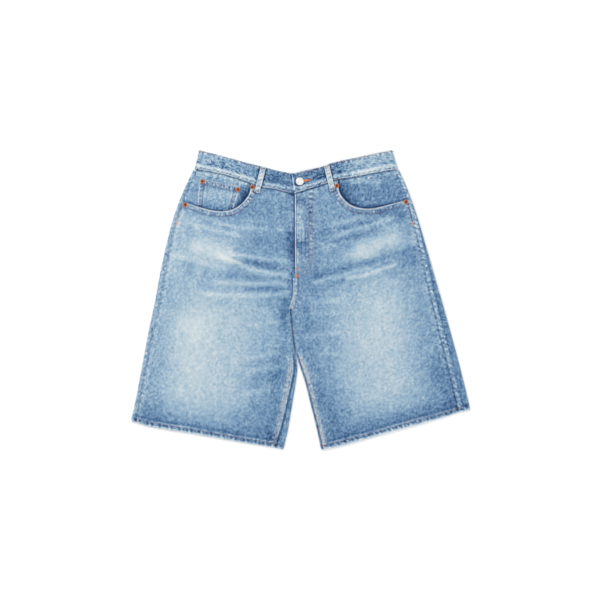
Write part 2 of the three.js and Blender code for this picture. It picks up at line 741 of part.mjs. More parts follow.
function waistband() {
  const columns = [];
  const topZ = HIP_LIFT + BAND_HIGH;
  const folds = { right: bandFold("right"), left: bandFold("left") };
  const tangent = (side) => {
    const column = folds[side](Math.PI / 2);
    return { top: column.at(-1).point, foot: column[0].point };
  };
  const right = tangent("right");
  const left = tangent("left");
  for (let k = 0; k < BAND_COLUMNS.front; k += 1) {
    const t = k / BAND_COLUMNS.front;
    columns.push(bandFlat(mix(BAND_UNDERLAP, right.top.x, t), mix(BAND_UNDERLAP, right.foot.x, t), topZ, UP));
  }
  for (let k = 0; k <= FOLD_STEPS; k += 1) columns.push(folds.right(Math.PI * (0.5 - k / FOLD_STEPS)));
  for (let k = 1; k < BAND_COLUMNS.back; k += 1) {
    const t = k / BAND_COLUMNS.back;
    const topX = mix(right.top.x, left.top.x, t);
    columns.push(bandFlat(topX, mix(right.foot.x, left.foot.x, t), HIP_LIFT, DOWN));
  }
  for (let k = 0; k <= FOLD_STEPS; k += 1) columns.push(folds.left(Math.PI * (k / FOLD_STEPS - 0.5)));
  for (let k = 1; k <= BAND_COLUMNS.front; k += 1) {
    const t = (k / BAND_COLUMNS.front) ** BAND_CROWDING;
    const topX = mix(left.top.x, BAND_END.top.x, t);
    const footX = mix(left.foot.x, BAND_END.foot.x, t);
    columns.push(bandFlat(topX, footX, topZ + bandRise(mix(topX, footX, 0.5)), UP));
  }
  return wall("waistband", columns, DENIM);
}

// Belt loops.

// A strip whose centre line runs through stations of plan point and underside height.
function strip(name, stations, wide, thick) {
  const first = stations[0];
  const last = stations.at(-1);
  const along = new THREE.Vector2(last.x - first.x, last.y - first.y).normalize();
  const square = new THREE.Vector2(-along.y, along.x);
  const rows = stations.map((at) =>
    [-0.5, 0.5].map((share) => {
      const x = at.x + square.x * wide * share;
      const y = at.y + square.y * wide * share;
      return station(x, y, at.under + thick, thick);
    }),
  );
  return wall(name, rows, DENIM_DARK);
}

// A front loop: down from the band's upper edge, clear of the band, to its sewn end on the panel.
function frontLoop(side) {
  const { top, foot } = FRONT_LOOPS[side];
  const bandZ = HIP_LIFT + BAND_HIGH;
  const profile = [
    { share: 0, under: bandZ + SEAM_GAP },
    { share: 0.12, under: bandZ + 0.8 * LOOP_SLACK },
    { share: 0.4, under: bandZ + LOOP_SLACK },
    { share: 0.66, under: bandZ + LOOP_SLACK },
    { share: 0.82, under: bandZ + 0.6 * LOOP_SLACK },
    { share: 0.92, under: LOOP_BELOW + 0.2 },
    { share: 1, under: LOOP_BELOW },
  ];
  const stations = profile.map(({ share, under }) => {
    const at = mixPoint(top, foot, share);
    return { x: at.x, y: at.y, under };
  });
  return strip(`belt_loop_front_${side}`, stations, LOOP_WIDE, LOOP_WALL);
}

// A loop under the garment lies flat between the band and the surface.
function backLoop(name) {
  const x = BACK_LOOPS[name];
  const top = bandTopY(x) - BACK_LOOP_INSET;
  const stations = [0, 1].map((share) => ({ x, y: top - BACK_LOOP_LONG * share, under: 0 }));
  return strip(`belt_loop_${name}`, stations, LOOP_WIDE, PATCH_WALL);
}

// Metal.

function lathe(name, profile, segments, material, at) {
  const points = profile.map(([radius, high]) => new THREE.Vector2(radius, high));
  const geometry = new THREE.LatheGeometry(points, segments);
  geometry.rotateX(Math.PI / 2);
  geometry.translate(at.x, at.y, at.z);
  return solid(name, geometry, material);
}

function rivet(row) {
  const seat = row.on === "coin" ? FACING_TOP + SEAM_GAP + COIN_WALL : HIP_LIFT + LAYERS_HIGH + SCOOP_PROUD;
  const profile = [
    [0, 0],
    [RIVET_R, 0],
    [RIVET_R, RIVET_HIGH * 0.35],
    [RIVET_R * 0.72, RIVET_HIGH * 0.75],
    [RIVET_R * 0.4, RIVET_HIGH * 0.7],
    [RIVET_R * 0.22, RIVET_HIGH],
    [0, RIVET_HIGH],
  ];
  return lathe(`rivet_${row.name}`, profile, RIVET_FACETS, COPPER, { x: row.x, y: row.y, z: seat + SEAM_GAP });
}

function button() {
  const seat = HIP_LIFT + BAND_HIGH + BAND_WALL + SEAM_GAP;
  const profile = [
    [0, 0],
    [BUTTON_R * 0.5, 0],
    [BUTTON_R * 0.55, BUTTON_HIGH * 0.3],
    [BUTTON_R * 0.95, BUTTON_HIGH * 0.42],
    [BUTTON_R, BUTTON_HIGH * 0.66],
    [BUTTON_R * 0.93, BUTTON_HIGH * 0.93],
    [BUTTON_R * 0.8, BUTTON_HIGH],
    [BUTTON_R * 0.68, BUTTON_HIGH * 0.8],
    [0, BUTTON_HIGH * 0.8],
  ];
  return lathe("button", profile, BUTTON_FACETS, SILVER, { x: BUTTON_AT.x, y: BUTTON_AT.y, z: seat + SEAM_GAP });
}

// The garment.

const group = new THREE.Group();
for (const side of Object.keys(SIDE)) {
  group.add(frontPanel(side), backPanel(side), backYoke(side), backPocket(side));
  group.add(pocketFacing(side), frontLoop(side));
}
group.add(waistband(), coinPocket(), button());
for (const name of Object.keys(BACK_LOOPS)) group.add(backLoop(name));
for (const row of RIVETS) group.add(rivet(row));

// The middle of the laid outline goes to the origin.
const outlineMiddle = {
  x: (OUTER.right[0].x + OUTER.left[0].x) / 2,
  y: (INNER.left[0].y + BAND_SIDES.left.top.y) / 2,
};
group.position.set(-outlineMiddle.x, -outlineMiddle.y, 0);

export default group;
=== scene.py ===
"""Denim shorts laid flat: the visible cloth, sewing and metal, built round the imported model."""

import bpy
import numpy as np
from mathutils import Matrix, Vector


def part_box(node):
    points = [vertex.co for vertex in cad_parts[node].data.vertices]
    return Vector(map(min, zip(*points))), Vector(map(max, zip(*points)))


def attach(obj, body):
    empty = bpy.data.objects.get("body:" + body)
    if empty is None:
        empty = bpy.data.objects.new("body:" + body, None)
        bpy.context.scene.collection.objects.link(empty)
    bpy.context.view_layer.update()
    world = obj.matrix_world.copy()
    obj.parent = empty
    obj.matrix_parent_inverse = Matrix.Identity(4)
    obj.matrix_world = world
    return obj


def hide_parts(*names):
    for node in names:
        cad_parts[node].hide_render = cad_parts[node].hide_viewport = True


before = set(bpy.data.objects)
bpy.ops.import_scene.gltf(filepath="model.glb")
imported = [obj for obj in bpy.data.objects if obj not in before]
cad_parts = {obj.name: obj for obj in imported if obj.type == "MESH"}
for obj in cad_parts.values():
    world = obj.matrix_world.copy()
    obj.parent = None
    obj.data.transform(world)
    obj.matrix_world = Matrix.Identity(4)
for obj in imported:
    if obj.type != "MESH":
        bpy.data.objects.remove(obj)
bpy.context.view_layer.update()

bl_info = {
    "name": "Laid denim shorts",
    "version": (1, 0, 0),
    "blender": (4, 5, 0),
    "location": "View3D > Sidebar > Shorts",
    "description": "Builds washed denim shorts with their sewing and metal on a packed frame",
    "category": "Add Mesh",
}

MM = 0.001
SIGN = {"right": -1.0, "left": 1.0}

# Sizes that scene.py shares with the solids, in millimetres.
CLOTH = 1.25
SEAM_GAP = 0.3
LAYERS_HIGH = 5.4
HEM_WALL = 2.7
HEM_HIGH = 6.6
HEM_DEEP = 10.5
SCOOP_DEEP = 9.5
SCOOP_PROUD = 0.5
FLY_WIDE = 37.0
FLY_TURN_HIGH = 90.0
FLY_FOOT = 52.0
FLY_PROUD = 1.2
BAND_WALL = 2.4
BAND_HIGH = 6.6
BAND_UNDERLAP = 20.0
BAND_RISE_FROM = 46.0
BAND_RISE_TO = 24.0
HIP_LIFT = 1.6
HIP_LIFT_FROM = -75.0
HIP_LIFT_TO = -25.0
FACING_TOP = HIP_LIFT + LAYERS_HIGH - 0.8
COIN_WALL = 1.2
COIN_TOP = FACING_TOP + SEAM_GAP + COIN_WALL
BAND_TOP_Z = HIP_LIFT + BAND_HIGH
PATCH_WALL = 1.3
LOOP_WIDE = 11.3
CROTCH_STEP = 4.0
INNER_STRIP = 6.0
SCOOP_SHARE = 0.38


def columns(names, rows):
    """A short table: its named columns as arrays."""
    values = np.array(rows, dtype=float)
    return {name: values[:, k] for k, name in enumerate(names.split())}


# The outline, as in the solids. "right" and "left" are the wearer's sides; right lies towards -X.
OUTER = {
    "right": columns("y x seam", [
        (-254.3, -355.5, 8), (-209, -345.4, 7), (-142, -332.8, 7), (-74.5, -320.2, 8), (-7, -305.6, 9),
        (60, -293, 9), (110, -282.4, 8), (161, -269.8, 6.5), (211, -253, 7), (245, -238.2, 7.5),
        (275, -223.6, 8),
    ]),
    "left": columns("y x seam", [
        (-229, 358, 24), (-192, 349.7, 24), (-125, 332.8, 23.5), (-58, 314.5, 22), (9.5, 295.2, 19),
        (60, 280.4, 16.5), (110, 266, 13), (161, 251, 11), (211, 234.4, 8), (245, 221.4, 7.5),
        (275, 207.4, 8),
    ]),
}
CROTCH_X = -20.0
CROTCH_Y = -20.0
INNER = {
    "right": columns("y x seam", [
        (-313.1, -35.5, 15), (-276, -26.2, 13), (-226, -17.8, 9), (-175, -9.6, 6), (-142, -5.8, 4.5),
        (-107, -10.4, 3.6), (-60, -16.2, 3.4), (CROTCH_Y, CROTCH_X, 3.4),
    ]),
    "left": columns("y x seam", [
        (-314.6, 44.7, 4.2), (-276, 36.4, 3.6), (-226, 24.2, 3.4), (-175, 11.4, 3.4), (-142, 0.8, 3.4),
        (-107, -9.6, 3.4), (-60, -15.6, 3.4), (CROTCH_Y, CROTCH_X, 3.4),
    ]),
}
HEM = {
    "right": columns("x y", [
        (-355.5, -254.3), (-325.5, -263), (-225, -280.4), (-124, -298.6), (-35.5, -313.1),
    ]),
    "left": columns("x y", [(44.7, -314.6), (90, -304), (191, -276.6), (292, -248.8), (358, -229)]),
}
CENTRE = columns("y x", [
    (CROTCH_Y, CROTCH_X), (1, -12.6), (20, -9.4), (60, -10.2), (130, -10.7), (240, -10.7),
])
BAND_TOP = columns("x y", [
    (-211.6, 316.2), (-161, 303), (-116, 290.4), (-82, 281.6), (-37, 270.2), (-14.7, 266.9), (6, 271.5),
    (49.4, 281.8), (66.4, 288.4), (118.6, 300.6), (161, 309.8), (193.4, 316.2),
])
BAND_SEAM = columns("x y", [
    (-221.6, 275), (-161, 264), (-114.5, 249.5), (-77.5, 236.6), (-50, 231.8), (-14, 224.6), (20, 233.5),
    (46.4, 241.7), (76.4, 252.6), (120.8, 259.8), (160.6, 267.8), (205.4, 275),
])
BAND_SIDES = {
    "right": np.array([(-211.6, 316.2), (-221.6, 275.0)]),
    "left": np.array([(193.4, 316.2), (205.4, 275.0)]),
}
BAND_END = np.array([(-19.0, 266.8), (-11.6, 225.6)])
SCOOP = {
    "right": columns("x y", [
        (-102.4, 246), (-103.8, 234), (-107.3, 223.2), (-115.7, 210.6), (-127.5, 199.5), (-139.2, 192.4),
        (-154.4, 188.4), (-170.5, 187.5), (-202.2, 194), (-246.6, 209.4),
    ]),
    "left": columns("x y", [
        (79, 253), (80.4, 238), (84.4, 223.9), (92.8, 212.3), (103.3, 202.9), (115.9, 197), (132.7, 193.4),
        (152.7, 193.6), (192.4, 203.5), (226.4, 213.6),
    ]),
}
YOKE_CENTRE = 158.0
YOKE_SIDE = 232.0
COIN_TOP_EDGE = np.array([(-210.8, 256.4), (-125.0, 237.4)])
COIN_FOOT_X = (-216.4, -139.6)
BACK_POCKET = {"mouth": 138.0, "wide": 148.0, "foot_wide": 128.0, "deep": 138.0, "point": 16.0}
BACK_POCKET_X = {"right": -124.0, "left": 112.0}
FRONT_LOOPS = {
    "right": np.array([(-76.7, 279.8), (-90.4, 226.6)]),
    "left": np.array([(55.4, 284.0), (68.5, 230.6)]),
}
BACK_LOOPS = {"side_right": -150.0, "centre": -8.0, "side_left": 134.0}
BACK_LOOP_LONG = 52.0
BACK_LOOP_INSET = 1.0
BACK_LOOP_ROWS = 30
FRONT_LOOP_WALL = 1.6
FRONT_LOOP_ROWS = 40
RIVETS = {
    "right_pocket_waist": (-100.0, 238.0), "right_pocket_side": (-241.0, 200.6),
    "left_pocket_waist": (77.4, 240.7), "left_pocket_side": (223.0, 207.0),
    "coin_outer": (-205.0, 249.8), "coin_inner": (-130.2, 232.8),
}
BUTTON_XY = (-0.4, 249.6)
OUTLINE_MIDDLE = np.array([(-355.5 + 358.0) / 2, (-314.6 + 316.2) / 2, 0.0])

# The largest folds, as in the solids: soft ridges.
FOLDS = columns("x1 y1 x2 y2 wide high", [
    (-238, 126, -116, 82, 20, 2.6), (-235, 165, -141, 141, 11, 1.4), (-127, 153, -42, 153, 10, 1.2),
    (-141, 98, -34, 84, 10, 1.3), (-172, 38, -42, 34, 11, 1.5), (-160, 8, -38, 12, 9, 1),
    (-225, -10, -235, -215, 58, 1.8), (-88, -46, -40, -40, 10, 1.3), (-112, -124, -44, -111, 12, 1.7),
    (64, 157, 123, 174, 10, 1.2), (89, 138, 190, 158, 10, 1), (84, 88, 216, 146, 20, 2.6),
    (102, 48, 196, 73, 12, 1.6), (30, -5, 87, 0, 9, 1), (30, -70, 74, -69, 9, 1), (30, -112, 74, -110, 9, 1),
    (165, -20, 215, -190, 58, 1.8),
])

# Wash and painted shade: pale and dark strokes of the front, from one point to another. Tone 0 is deep blue,
# 1 nearly white.
BASE_TONE = 0.31
# The dark strokes along x of about -20, left of the fly's edge, are painted shade beside the raised fly; the
# others are wash.
WASH_AND_SHADE = columns("x1 y1 x2 y2 wide tone", [
    (-230, -65, -240, -175, 62, 0.38), (-205, 30, -232, -30, 60, 0.1), (-215, 66, -222, 20, 16, 0.1),
    (-220, 165, -120, 140, 26, 0.07), (-165, -30, -170, -200, 60, 0.2), (-112, -10, -116, -90, 36, 0.16),
    (-138, -130, -132, -210, 30, 0.1), (-218, 112, -160, 97, 25, 0.42), (-251, 170, -262, 60, 20, 0.2),
    (-215, 150, -140, 136, 20, 0.12), (-212, 108, -160, 98, 20, 0.08), (-275, 80, -270, 20, 26, 0.1),
    (-80, 125, -40, 122, 20, -0.08), (-18, 230, -20, 10, 9, -0.1), (-20, 140, -20, 95, 8, -0.24),
    (-31, 0, -33, -50, 9, -0.16), (-42, -110, -58, -270, 18, -0.12), (-70, -30, -66, -100, 22, 0.1),
    (-60, -285, -52, -290, 10, -0.25), (-120, -240, -70, -256, 26, -0.1),
    (-320, -222, -300, -232, 18, -0.1), (-60, -290, -330, -244, 14, -0.14),
    (-200, 182, -60, 196, 16, -0.06), (125, 103, 195, 130, 20, 0.4), (100, 88, 150, 98, 11, 0.12),
    (185, -20, 205, -165, 58, 0.28), (140, 0, 140, -70, 58, 0.2), (80, 10, 95, -60, 30, 0.12),
    (100, -160, 130, -200, 34, 0.14), (130, -120, 165, -200, 50, 0.14), (176, 190, 222, 178, 14, -0.14),
    (230, 86, 248, 92, 12, -0.12), (14, 200, 15, 90, 9, -0.14), (110, 188, 170, 184, 7, -0.12),
    (15, -10, 20, -60, 12, -0.08), (14, -90, 34, -150, 13, -0.06), (44, -195, 72, -262, 22, -0.18),
    (200, 118, 240, 126, 14, 0.1), (160, 52, 200, 40, 20, 0.08), (30, 120, 60, 150, 20, -0.04),
    (70, 78, 105, 90, 16, 0.06), (60, 110, 90, 124, 16, 0.05), (300, -150, 340, -215, 28, -0.26),
    (272, 60, 310, -120, 12, -0.14), (70, -284, 340, -214, 15, -0.2), (-20, 40, 25, 60, 20, -0.1),
])

# Whiskers, pale and dark creases of wear: tone, width, then the points of each.
WHISKER_DEPTH = 1.15
WHISKERS = (
    (0.16, 4.5, (-205, 178), (-160, 160), (-120, 153), (-80, 151), (-40, 149)),
    (0.14, 7, (-235, 163), (-200, 152), (-160, 141), (-135, 136)), (0.08, 5, (-120, 168), (-70, 165)),
    (0.1, 4, (-225, 172), (-180, 162), (-140, 152)),
    (0.24, 4.5, (-145, 98), (-100, 91), (-60, 86), (-24, 83)),
    (0.3, 5.5, (-165, 92), (-125, 76), (-100, 64), (-60, 57), (-24, 53)),
    (0.16, 6, (-260, 95), (-225, 86), (-200, 78), (-160, 66)),
    (0.2, 5, (-180, 38), (-130, 36), (-80, 34), (-30, 35)),
    (0.2, 5, (-200, 14), (-140, 10), (-60, 12), (-25, 16)), (0.16, 4, (-105, -52), (-60, -46), (-30, -41)),
    (0.13, 5, (-112, -121), (-80, -117), (-45, -110)), (0.14, 5, (-112, -152), (-80, -143), (-50, -138)),
    (0.1, 6, (-118, -197), (-85, -190), (-55, -184)), (-0.13, 4, (-195, 165), (-140, 148)),
    (-0.12, 4.5, (-205, 146), (-150, 132), (-128, 128)), (-0.18, 8, (-112, 79), (-50, 71)),
    (-0.08, 6, (-150, 52), (-90, 47)), (-0.17, 6.5, (-112, 24), (-40, 24)),
    (-0.1, 8, (-92, -165), (-40, -155)), (0.17, 5, (65, 160), (100, 167), (132, 177)),
    (0.2, 5.5, (75, 135), (110, 149), (150, 161), (192, 172)), (0.08, 5, (45, 110), (75, 118)),
    (0.3, 4, (100, 47), (130, 50), (160, 62), (202, 76)),
    (0.15, 4, (30, 38), (90, 54), (150, 71), (205, 92)), (0.16, 6, (26, -4), (80, 0)),
    (0.08, 6, (26, -26), (80, -24)), (0.13, 5, (30, -73), (80, -69)), (0.13, 5, (40, -113), (92, -113)),
    (0.1, 6, (150, 150), (225, 158)), (-0.16, 4, (88, 150), (120, 158), (162, 168)),
    (-0.18, 4.5, (70, 122), (110, 134), (162, 149)), (-0.15, 7, (35, 52), (70, 62), (110, 74), (150, 82)),
    (-0.06, 6, (150, 82), (240, 110)), (-0.12, 5, (150, 72), (180, 81), (212, 96), (245, 112)),
    (-0.13, 5, (25, 20), (60, 30), (90, 42)),

)


# Curves and sums of the plan.

def through(table, key, value):
    """A smooth function through a table's rows: between two rows a cubic whose slope at each row is the
    chord of its neighbours, y = a v0 + b h s0 + c v1 + d h s1 with the Hermite weights of t."""
    order = np.argsort(table[key])
    k = table[key][order]
    v = table[value][order]
    before = np.maximum(np.arange(len(k)) - 1, 0)
    after = np.minimum(np.arange(len(k)) + 1, len(k) - 1)
    slope = (v[after] - v[before]) / (k[after] - k[before])

    def at(x):
        x = np.asarray(x, dtype=float)
        i = np.clip(np.searchsorted(k, x, side="left") - 1, 0, len(k) - 2)
        step = k[i + 1] - k[i]
        t = np.clip((x - k[i]) / step, 0, 1)
        a = 2 * t**3 - 3 * t**2 + 1
        b = t**3 - 2 * t**2 + t
        c = 3 * t**2 - 2 * t**3
        d = t**3 - t**2
        return a * v[i] + b * step * slope[i] + c * v[i + 1] + d * step * slope[i + 1]

    return at


def smoothstep(low, high, x):
    """0 below low, 1 above high, 3t^2 - 2t^3 between."""
    t = np.clip((np.asarray(x, dtype=float) - low) / (high - low), 0, 1)
    return t * t * (3 - 2 * t)


def mix(a, b, t):
    return a + (b - a) * t


def unit(direction):
    """The same direction, or each of several, one long."""
    return direction / np.linalg.norm(direction, axis=-1, keepdims=True)


def left_of(direction):
    """Square to a plan direction, on its left."""
    return np.stack([-direction[..., 1], direction[..., 0]], -1)


def run_along(points):
    """Length run at each point of a broken line."""
    return np.concatenate([[0], np.cumsum(np.linalg.norm(np.diff(points, axis=0), axis=1))])


def between(places, known, points):
    """Points of a broken line at the given lengths run."""
    return np.stack([np.interp(places, known, points[:, k]) for k in range(points.shape[1])], -1)


centre_x = through(CENTRE, "y", "x")
band_top_y = through(BAND_TOP, "x", "y")
band_seam_y = through(BAND_SEAM, "x", "y")
hem_y = {side: through(HEM[side], "x", "y") for side in SIGN}
WAIST_Y = float(band_seam_y(CENTRE["x"][-1])) - SEAM_GAP / 2


def band_rise(x):
    """Height of the waistband's upper end over its lower one, eased in along X."""
    return (BAND_WALL + SEAM_GAP) * (1 - smoothstep(BAND_RISE_TO, BAND_RISE_FROM, x))


def hip_lift(y):
    return HIP_LIFT * smoothstep(HIP_LIFT_FROM, HIP_LIFT_TO, y)


SLOPE_PROBE = 4.0
SMALL_STEP = 0.5


def fold_line(table, inward):
    """Point, inward normal and seam distance of a fold at heights y, the normal square to the outline."""
    x_at = through(table, "y", "x")
    seam_at = through(table, "y", "seam")
    low, high = table["y"].min(), table["y"].max()

    def at(y):
        y = np.asarray(y, dtype=float)
        above = np.minimum(y + SLOPE_PROBE, high)
        below = np.maximum(y - SLOPE_PROBE, low)
        slope = (x_at(above) - x_at(below)) / (above - below)
        normal = np.stack([np.ones_like(y), -slope], -1) / np.hypot(1, slope)[..., None] * inward
        return np.stack([x_at(y), y], -1), normal, seam_at(y)

    return at


outer_fold = {side: fold_line(OUTER[side], -sign) for side, sign in SIGN.items()}
inner_fold = {side: fold_line(INNER[side], sign) for side, sign in SIGN.items()}


def inside_fold(fold, distance):
    point, normal, seam = fold
    return point + normal * (seam + distance)[..., None]


BATCH = 4096


class Line:
    """A drawn line of the plan: points about a millimetre apart, with the length run at each."""

    def __init__(self, points, step=1.0):
        points = np.asarray(points, dtype=float)
        run = run_along(points)
        count = max(2, int(run[-1] / step) + 1)
        self.run = np.linspace(0, run[-1], count)
        self.points = between(self.run, run, points)

    def near(self, xy):
        """Distance to the line and the length run at the nearest place, for each point."""
        flat = xy.reshape(-1, 2)
        distance = np.empty(len(flat))
        run = np.empty(len(flat))
        for start in range(0, len(flat), BATCH):
            part = flat[start:start + BATCH]
            away = ((part[:, None, :] - self.points[None, :, :2]) ** 2).sum(-1)
            nearest = away.argmin(1)
            i = np.clip(nearest, 1, len(self.points) - 2)
            best = np.full(len(part), np.inf)
            best_run = np.zeros(len(part))
            for first in (i - 1, i):
                a = self.points[first, :2]
                ab = self.points[first + 1, :2] - a
                t = np.clip(((part - a) * ab).sum(-1) / (ab**2).sum(-1), 0, 1)
                d = np.linalg.norm(part - a - ab * t[:, None], axis=1)
                closer = d < best
                best = np.where(closer, d, best)
                best_run = np.where(closer, mix(self.run[first], self.run[first + 1], t), best_run)
            distance[start:start + BATCH] = best
            run[start:start + BATCH] = best_run
        return distance.reshape(xy.shape[:-1]), run.reshape(xy.shape[:-1])

    def shifted(self, away):
        """The same line moved square to itself, to its left for a positive distance."""
        plan = self.points[:, :2]
        return Line(plan + left_of(unit(np.gradient(plan, axis=0))) * away)

    def part(self, start, end):
        """The stretch between two lengths run; a negative end counts from the line's end."""
        end = self.run[-1] + end if end <= 0 else end
        keep = (self.run >= start) & (self.run <= end)
        return Line(self.points[keep])


def smooth_points(table, count=240):
    """Centripetal Catmull-Rom points through a table of x and y, evenly spaced along the curve."""
    points = np.stack([table["x"], table["y"]], -1)
    ends = np.vstack([2 * points[0] - points[1], points, 2 * points[-1] - points[-2]])
    out = []
    for i in range(len(points) - 1):
        p0, p1, p2, p3 = ends[i:i + 4]
        t0 = 0.0
        t1 = t0 + np.sqrt(np.linalg.norm(p1 - p0))
        t2 = t1 + np.sqrt(np.linalg.norm(p2 - p1))
        t3 = t2 + np.sqrt(np.linalg.norm(p3 - p2))
        t = np.linspace(t1, t2, 40, endpoint=i == len(points) - 2)[:, None]
        a1 = (t1 - t) / (t1 - t0) * p0 + (t - t0) / (t1 - t0) * p1
        a2 = (t2 - t) / (t2 - t1) * p1 + (t - t1) / (t2 - t1) * p2
        a3 = (t3 - t) / (t3 - t2) * p2 + (t - t2) / (t3 - t2) * p3
        b1 = (t2 - t) / (t2 - t0) * a1 + (t - t0) / (t2 - t0) * a2
        b2 = (t3 - t) / (t3 - t1) * a2 + (t - t1) / (t3 - t1) * a3
        out.append((t2 - t) / (t2 - t1) * b1 + (t - t1) / (t2 - t1) * b2)
    points = np.vstack(out)
    run = run_along(points)
    return between(np.linspace(0, run[-1], count), run, points)


scoop_points = {side: smooth_points(SCOOP[side]) for side in SIGN}


def scoop_at(side, share, away):
    """Points of the pocket mouth at shares of its length, moved square to it, plus away from the panel."""
    points = scoop_points[side]
    grid = np.linspace(0, 1, len(points))
    moved = points + left_of(unit(np.gradient(points, axis=0))) * SIGN[side] * away
    return between(share, grid, moved)


def heights(low, high, step=4.0):
    return np.arange(low, high + step / 2, step)


def seam_line(side, fold, low, high):
    """The outer or inner seam on the front, between two heights."""
    y = heights(low, high)[::-1]
    return Line(inside_fold(fold[side](y), np.zeros_like(y)))


MOUTH_Y = {side: float(SCOOP[side]["y"][-1]) for side in SIGN}
HEM_IN_Y = {side: float(INNER[side]["y"][0]) for side in SIGN}
HEM_OUT_Y = {side: float(OUTER[side]["y"][0]) for side in SIGN}

RISE_HIGH = 226
SIDE_HIGH = 274.0
HEM_PLACES = 120
rise_ys = heights(CROTCH_Y, RISE_HIGH)[::-1]
band_xs = np.linspace(-221, 205, 220)
LINES = {
    "band_seam": Line(np.stack([band_xs, band_seam_y(band_xs)], -1)),
    "band_top": Line(np.stack([band_xs, band_top_y(band_xs)], -1)),
    "centre": Line(np.stack([centre_x(rise_ys), rise_ys], -1)),
}
for side in SIGN:
    LINES[f"mouth_{side}"] = Line(scoop_points[side])
    LINES[f"outseam_{side}"] = seam_line(side, outer_fold, HEM_OUT_Y[side], SIDE_HIGH)
    LINES[f"inseam_{side}"] = seam_line(side, inner_fold, HEM_IN_Y[side], CROTCH_Y)
    hem_xs = np.linspace(INNER[side]["x"][0], OUTER[side]["x"][0], HEM_PLACES)
    LINES[f"hem_{side}"] = Line(np.stack([hem_xs, hem_y[side](hem_xs)], -1))


# Relief and tone of the front.

def strokes(table, x, y, value):
    """Sum of soft strokes: value times exp(-(d / wide)^2), with d the distance to the stroke's segment."""
    total = np.zeros_like(x)
    for k in range(len(table["x1"])):
        ax, ay = table["x1"][k], table["y1"][k]
        dx, dy = table["x2"][k] - ax, table["y2"][k] - ay
        t = np.clip(((x - ax) * dx + (y - ay) * dy) / (dx * dx + dy * dy), 0, 1)
        away = np.hypot(x - ax - t * dx, y - ay - t * dy)
        total += table[value][k] * np.exp(-((away / table["wide"][k]) ** 2))
    return total


def whiskers(x, y):
    """Sum of fine strokes along broken lines, by the distance to the nearest stretch of each."""
    total = np.zeros_like(x)
    for tone, wide, *points in WHISKERS:
        away = np.full_like(x, 1e9)
        for (ax, ay), (bx, by) in zip(points[:-1], points[1:]):
            dx, dy = bx - ax, by - ay
            t = np.clip(((x - ax) * dx + (y - ay) * dy) / (dx * dx + dy * dy), 0, 1)
            away = np.minimum(away, np.hypot(x - ax - t * dx, y - ay - t * dy))
        total += WHISKER_DEPTH * tone * np.exp(-((away / wide) ** 2))
    return total


def waves(x, y, longest, shortest, count, seed):
    """Soft uneven noise: a sum of sine waves of random direction, length and phase, about -1 to 1."""
    source = np.random.default_rng(seed)
    total = np.zeros(np.broadcast_shapes(np.shape(x), np.shape(y)))
    for _ in range(count):
        length = np.exp(source.uniform(np.log(shortest), np.log(longest)))
        turn = source.uniform(0, 2 * np.pi)
        phase = source.uniform(0, 2 * np.pi)
        total += np.sin((x * np.cos(turn) + y * np.sin(turn)) * 2 * np.pi / length + phase)
    return total / np.sqrt(count)


# Where the largest folds fade out: near the side fold, the inner fold and the waistband.
FADE_OUTER = (8, 34)
FADE_INNER = (5, 26)
FADE_WAIST = (165, 190)
FAR = 1000.0


def fold_relief(x, y):
    """Height of the largest folds above the plain front; none near the side and inner folds."""
    outer = np.minimum(x - outer_fold["right"](y)[0][..., 0], outer_fold["left"](y)[0][..., 0] - x)
    right = x < centre_x(np.maximum(y, CROTCH_Y))
    inner_x = np.where(right, inner_fold["right"](y)[0][..., 0], inner_fold["left"](y)[0][..., 0])
    inner = np.where(y < CROTCH_Y, np.abs(x - inner_x), FAR)
    high = strokes(FOLDS, x, y, "high")
    fade = smoothstep(*FADE_OUTER, outer) * smoothstep(*FADE_INNER, inner)
    return high * fade * (1 - smoothstep(*FADE_WAIST, y))


FLY_SHARE_EDGE = (0.9, 1.12)


def fly_share(x, y):
    """1 over the folded fly inside its curved stitch line, 0 outside."""
    across = (x - centre_x(y)) / FLY_WIDE
    down = positive(FLY_TURN_HIGH - y) / (FLY_TURN_HIGH - FLY_FOOT)
    return 1 - smoothstep(*FLY_SHARE_EDGE, np.hypot(across, down))


def bell(distance, wide):
    return np.exp(-((distance / wide) ** 2))


def window(value, low, high, soft=1.2):
    """1 between low and high, 0 outside, eased over the soft width."""
    return smoothstep(low - soft, low, value) * (1 - smoothstep(high, high + soft, value))


def positive(value):
    return np.maximum(0, value)


ROPE_WAVES = 4
ROPE_STRENGTH = (0.5, 1.2)
ROPE_WANDER = (20, 60)
ROPE_RATIO = 1.62
ROPE_SQUARE = 1.5


def rope(run, pitch, seed):
    """Uneven puckers along a seam, -1 to 1: two sines of unlike pitch whose phases wander, squared off."""
    source = np.random.default_rng(int(seed * 10))
    wander = 0
    for _ in range(ROPE_WAVES):
        strength = source.uniform(*ROPE_STRENGTH)
        wander = wander + strength * np.sin(run / source.uniform(*ROPE_WANDER) + source.uniform(0, 6))
    first = np.sin(run * 2 * np.pi / pitch + wander)
    second = np.sin(run * 2 * np.pi / (pitch * ROPE_RATIO) - 0.7 * wander + seed)
    return np.tanh(ROPE_SQUARE * (first + 0.8 * second))


def seams_of(side, points, names):
    """For each named line of a side: distance, length run, and the way its puckers lean. The plain axes
    stand beside them, so that a zone can lie along any of them."""
    xy = points[..., :2]
    found = {axis: (points[..., k], points[..., k], 1.0) for k, axis in zip(range(points.shape[-1]), "xyz")}
    for name in names.split():
        key = name if name in LINES else f"{name}_{side}"
        found[name] = (*LINES[key].near(xy), SIGN[side] if name == "hem" else 1.0)
    return found


def zone(seams, seam, *shape):
    """A soft line, from its place and width, or an even strip, from its two edges and their softness."""
    distance = seams[seam][0]
    if len(shape) == 2:
        return bell(distance - shape[0], shape[1])
    return window(distance, *shape)


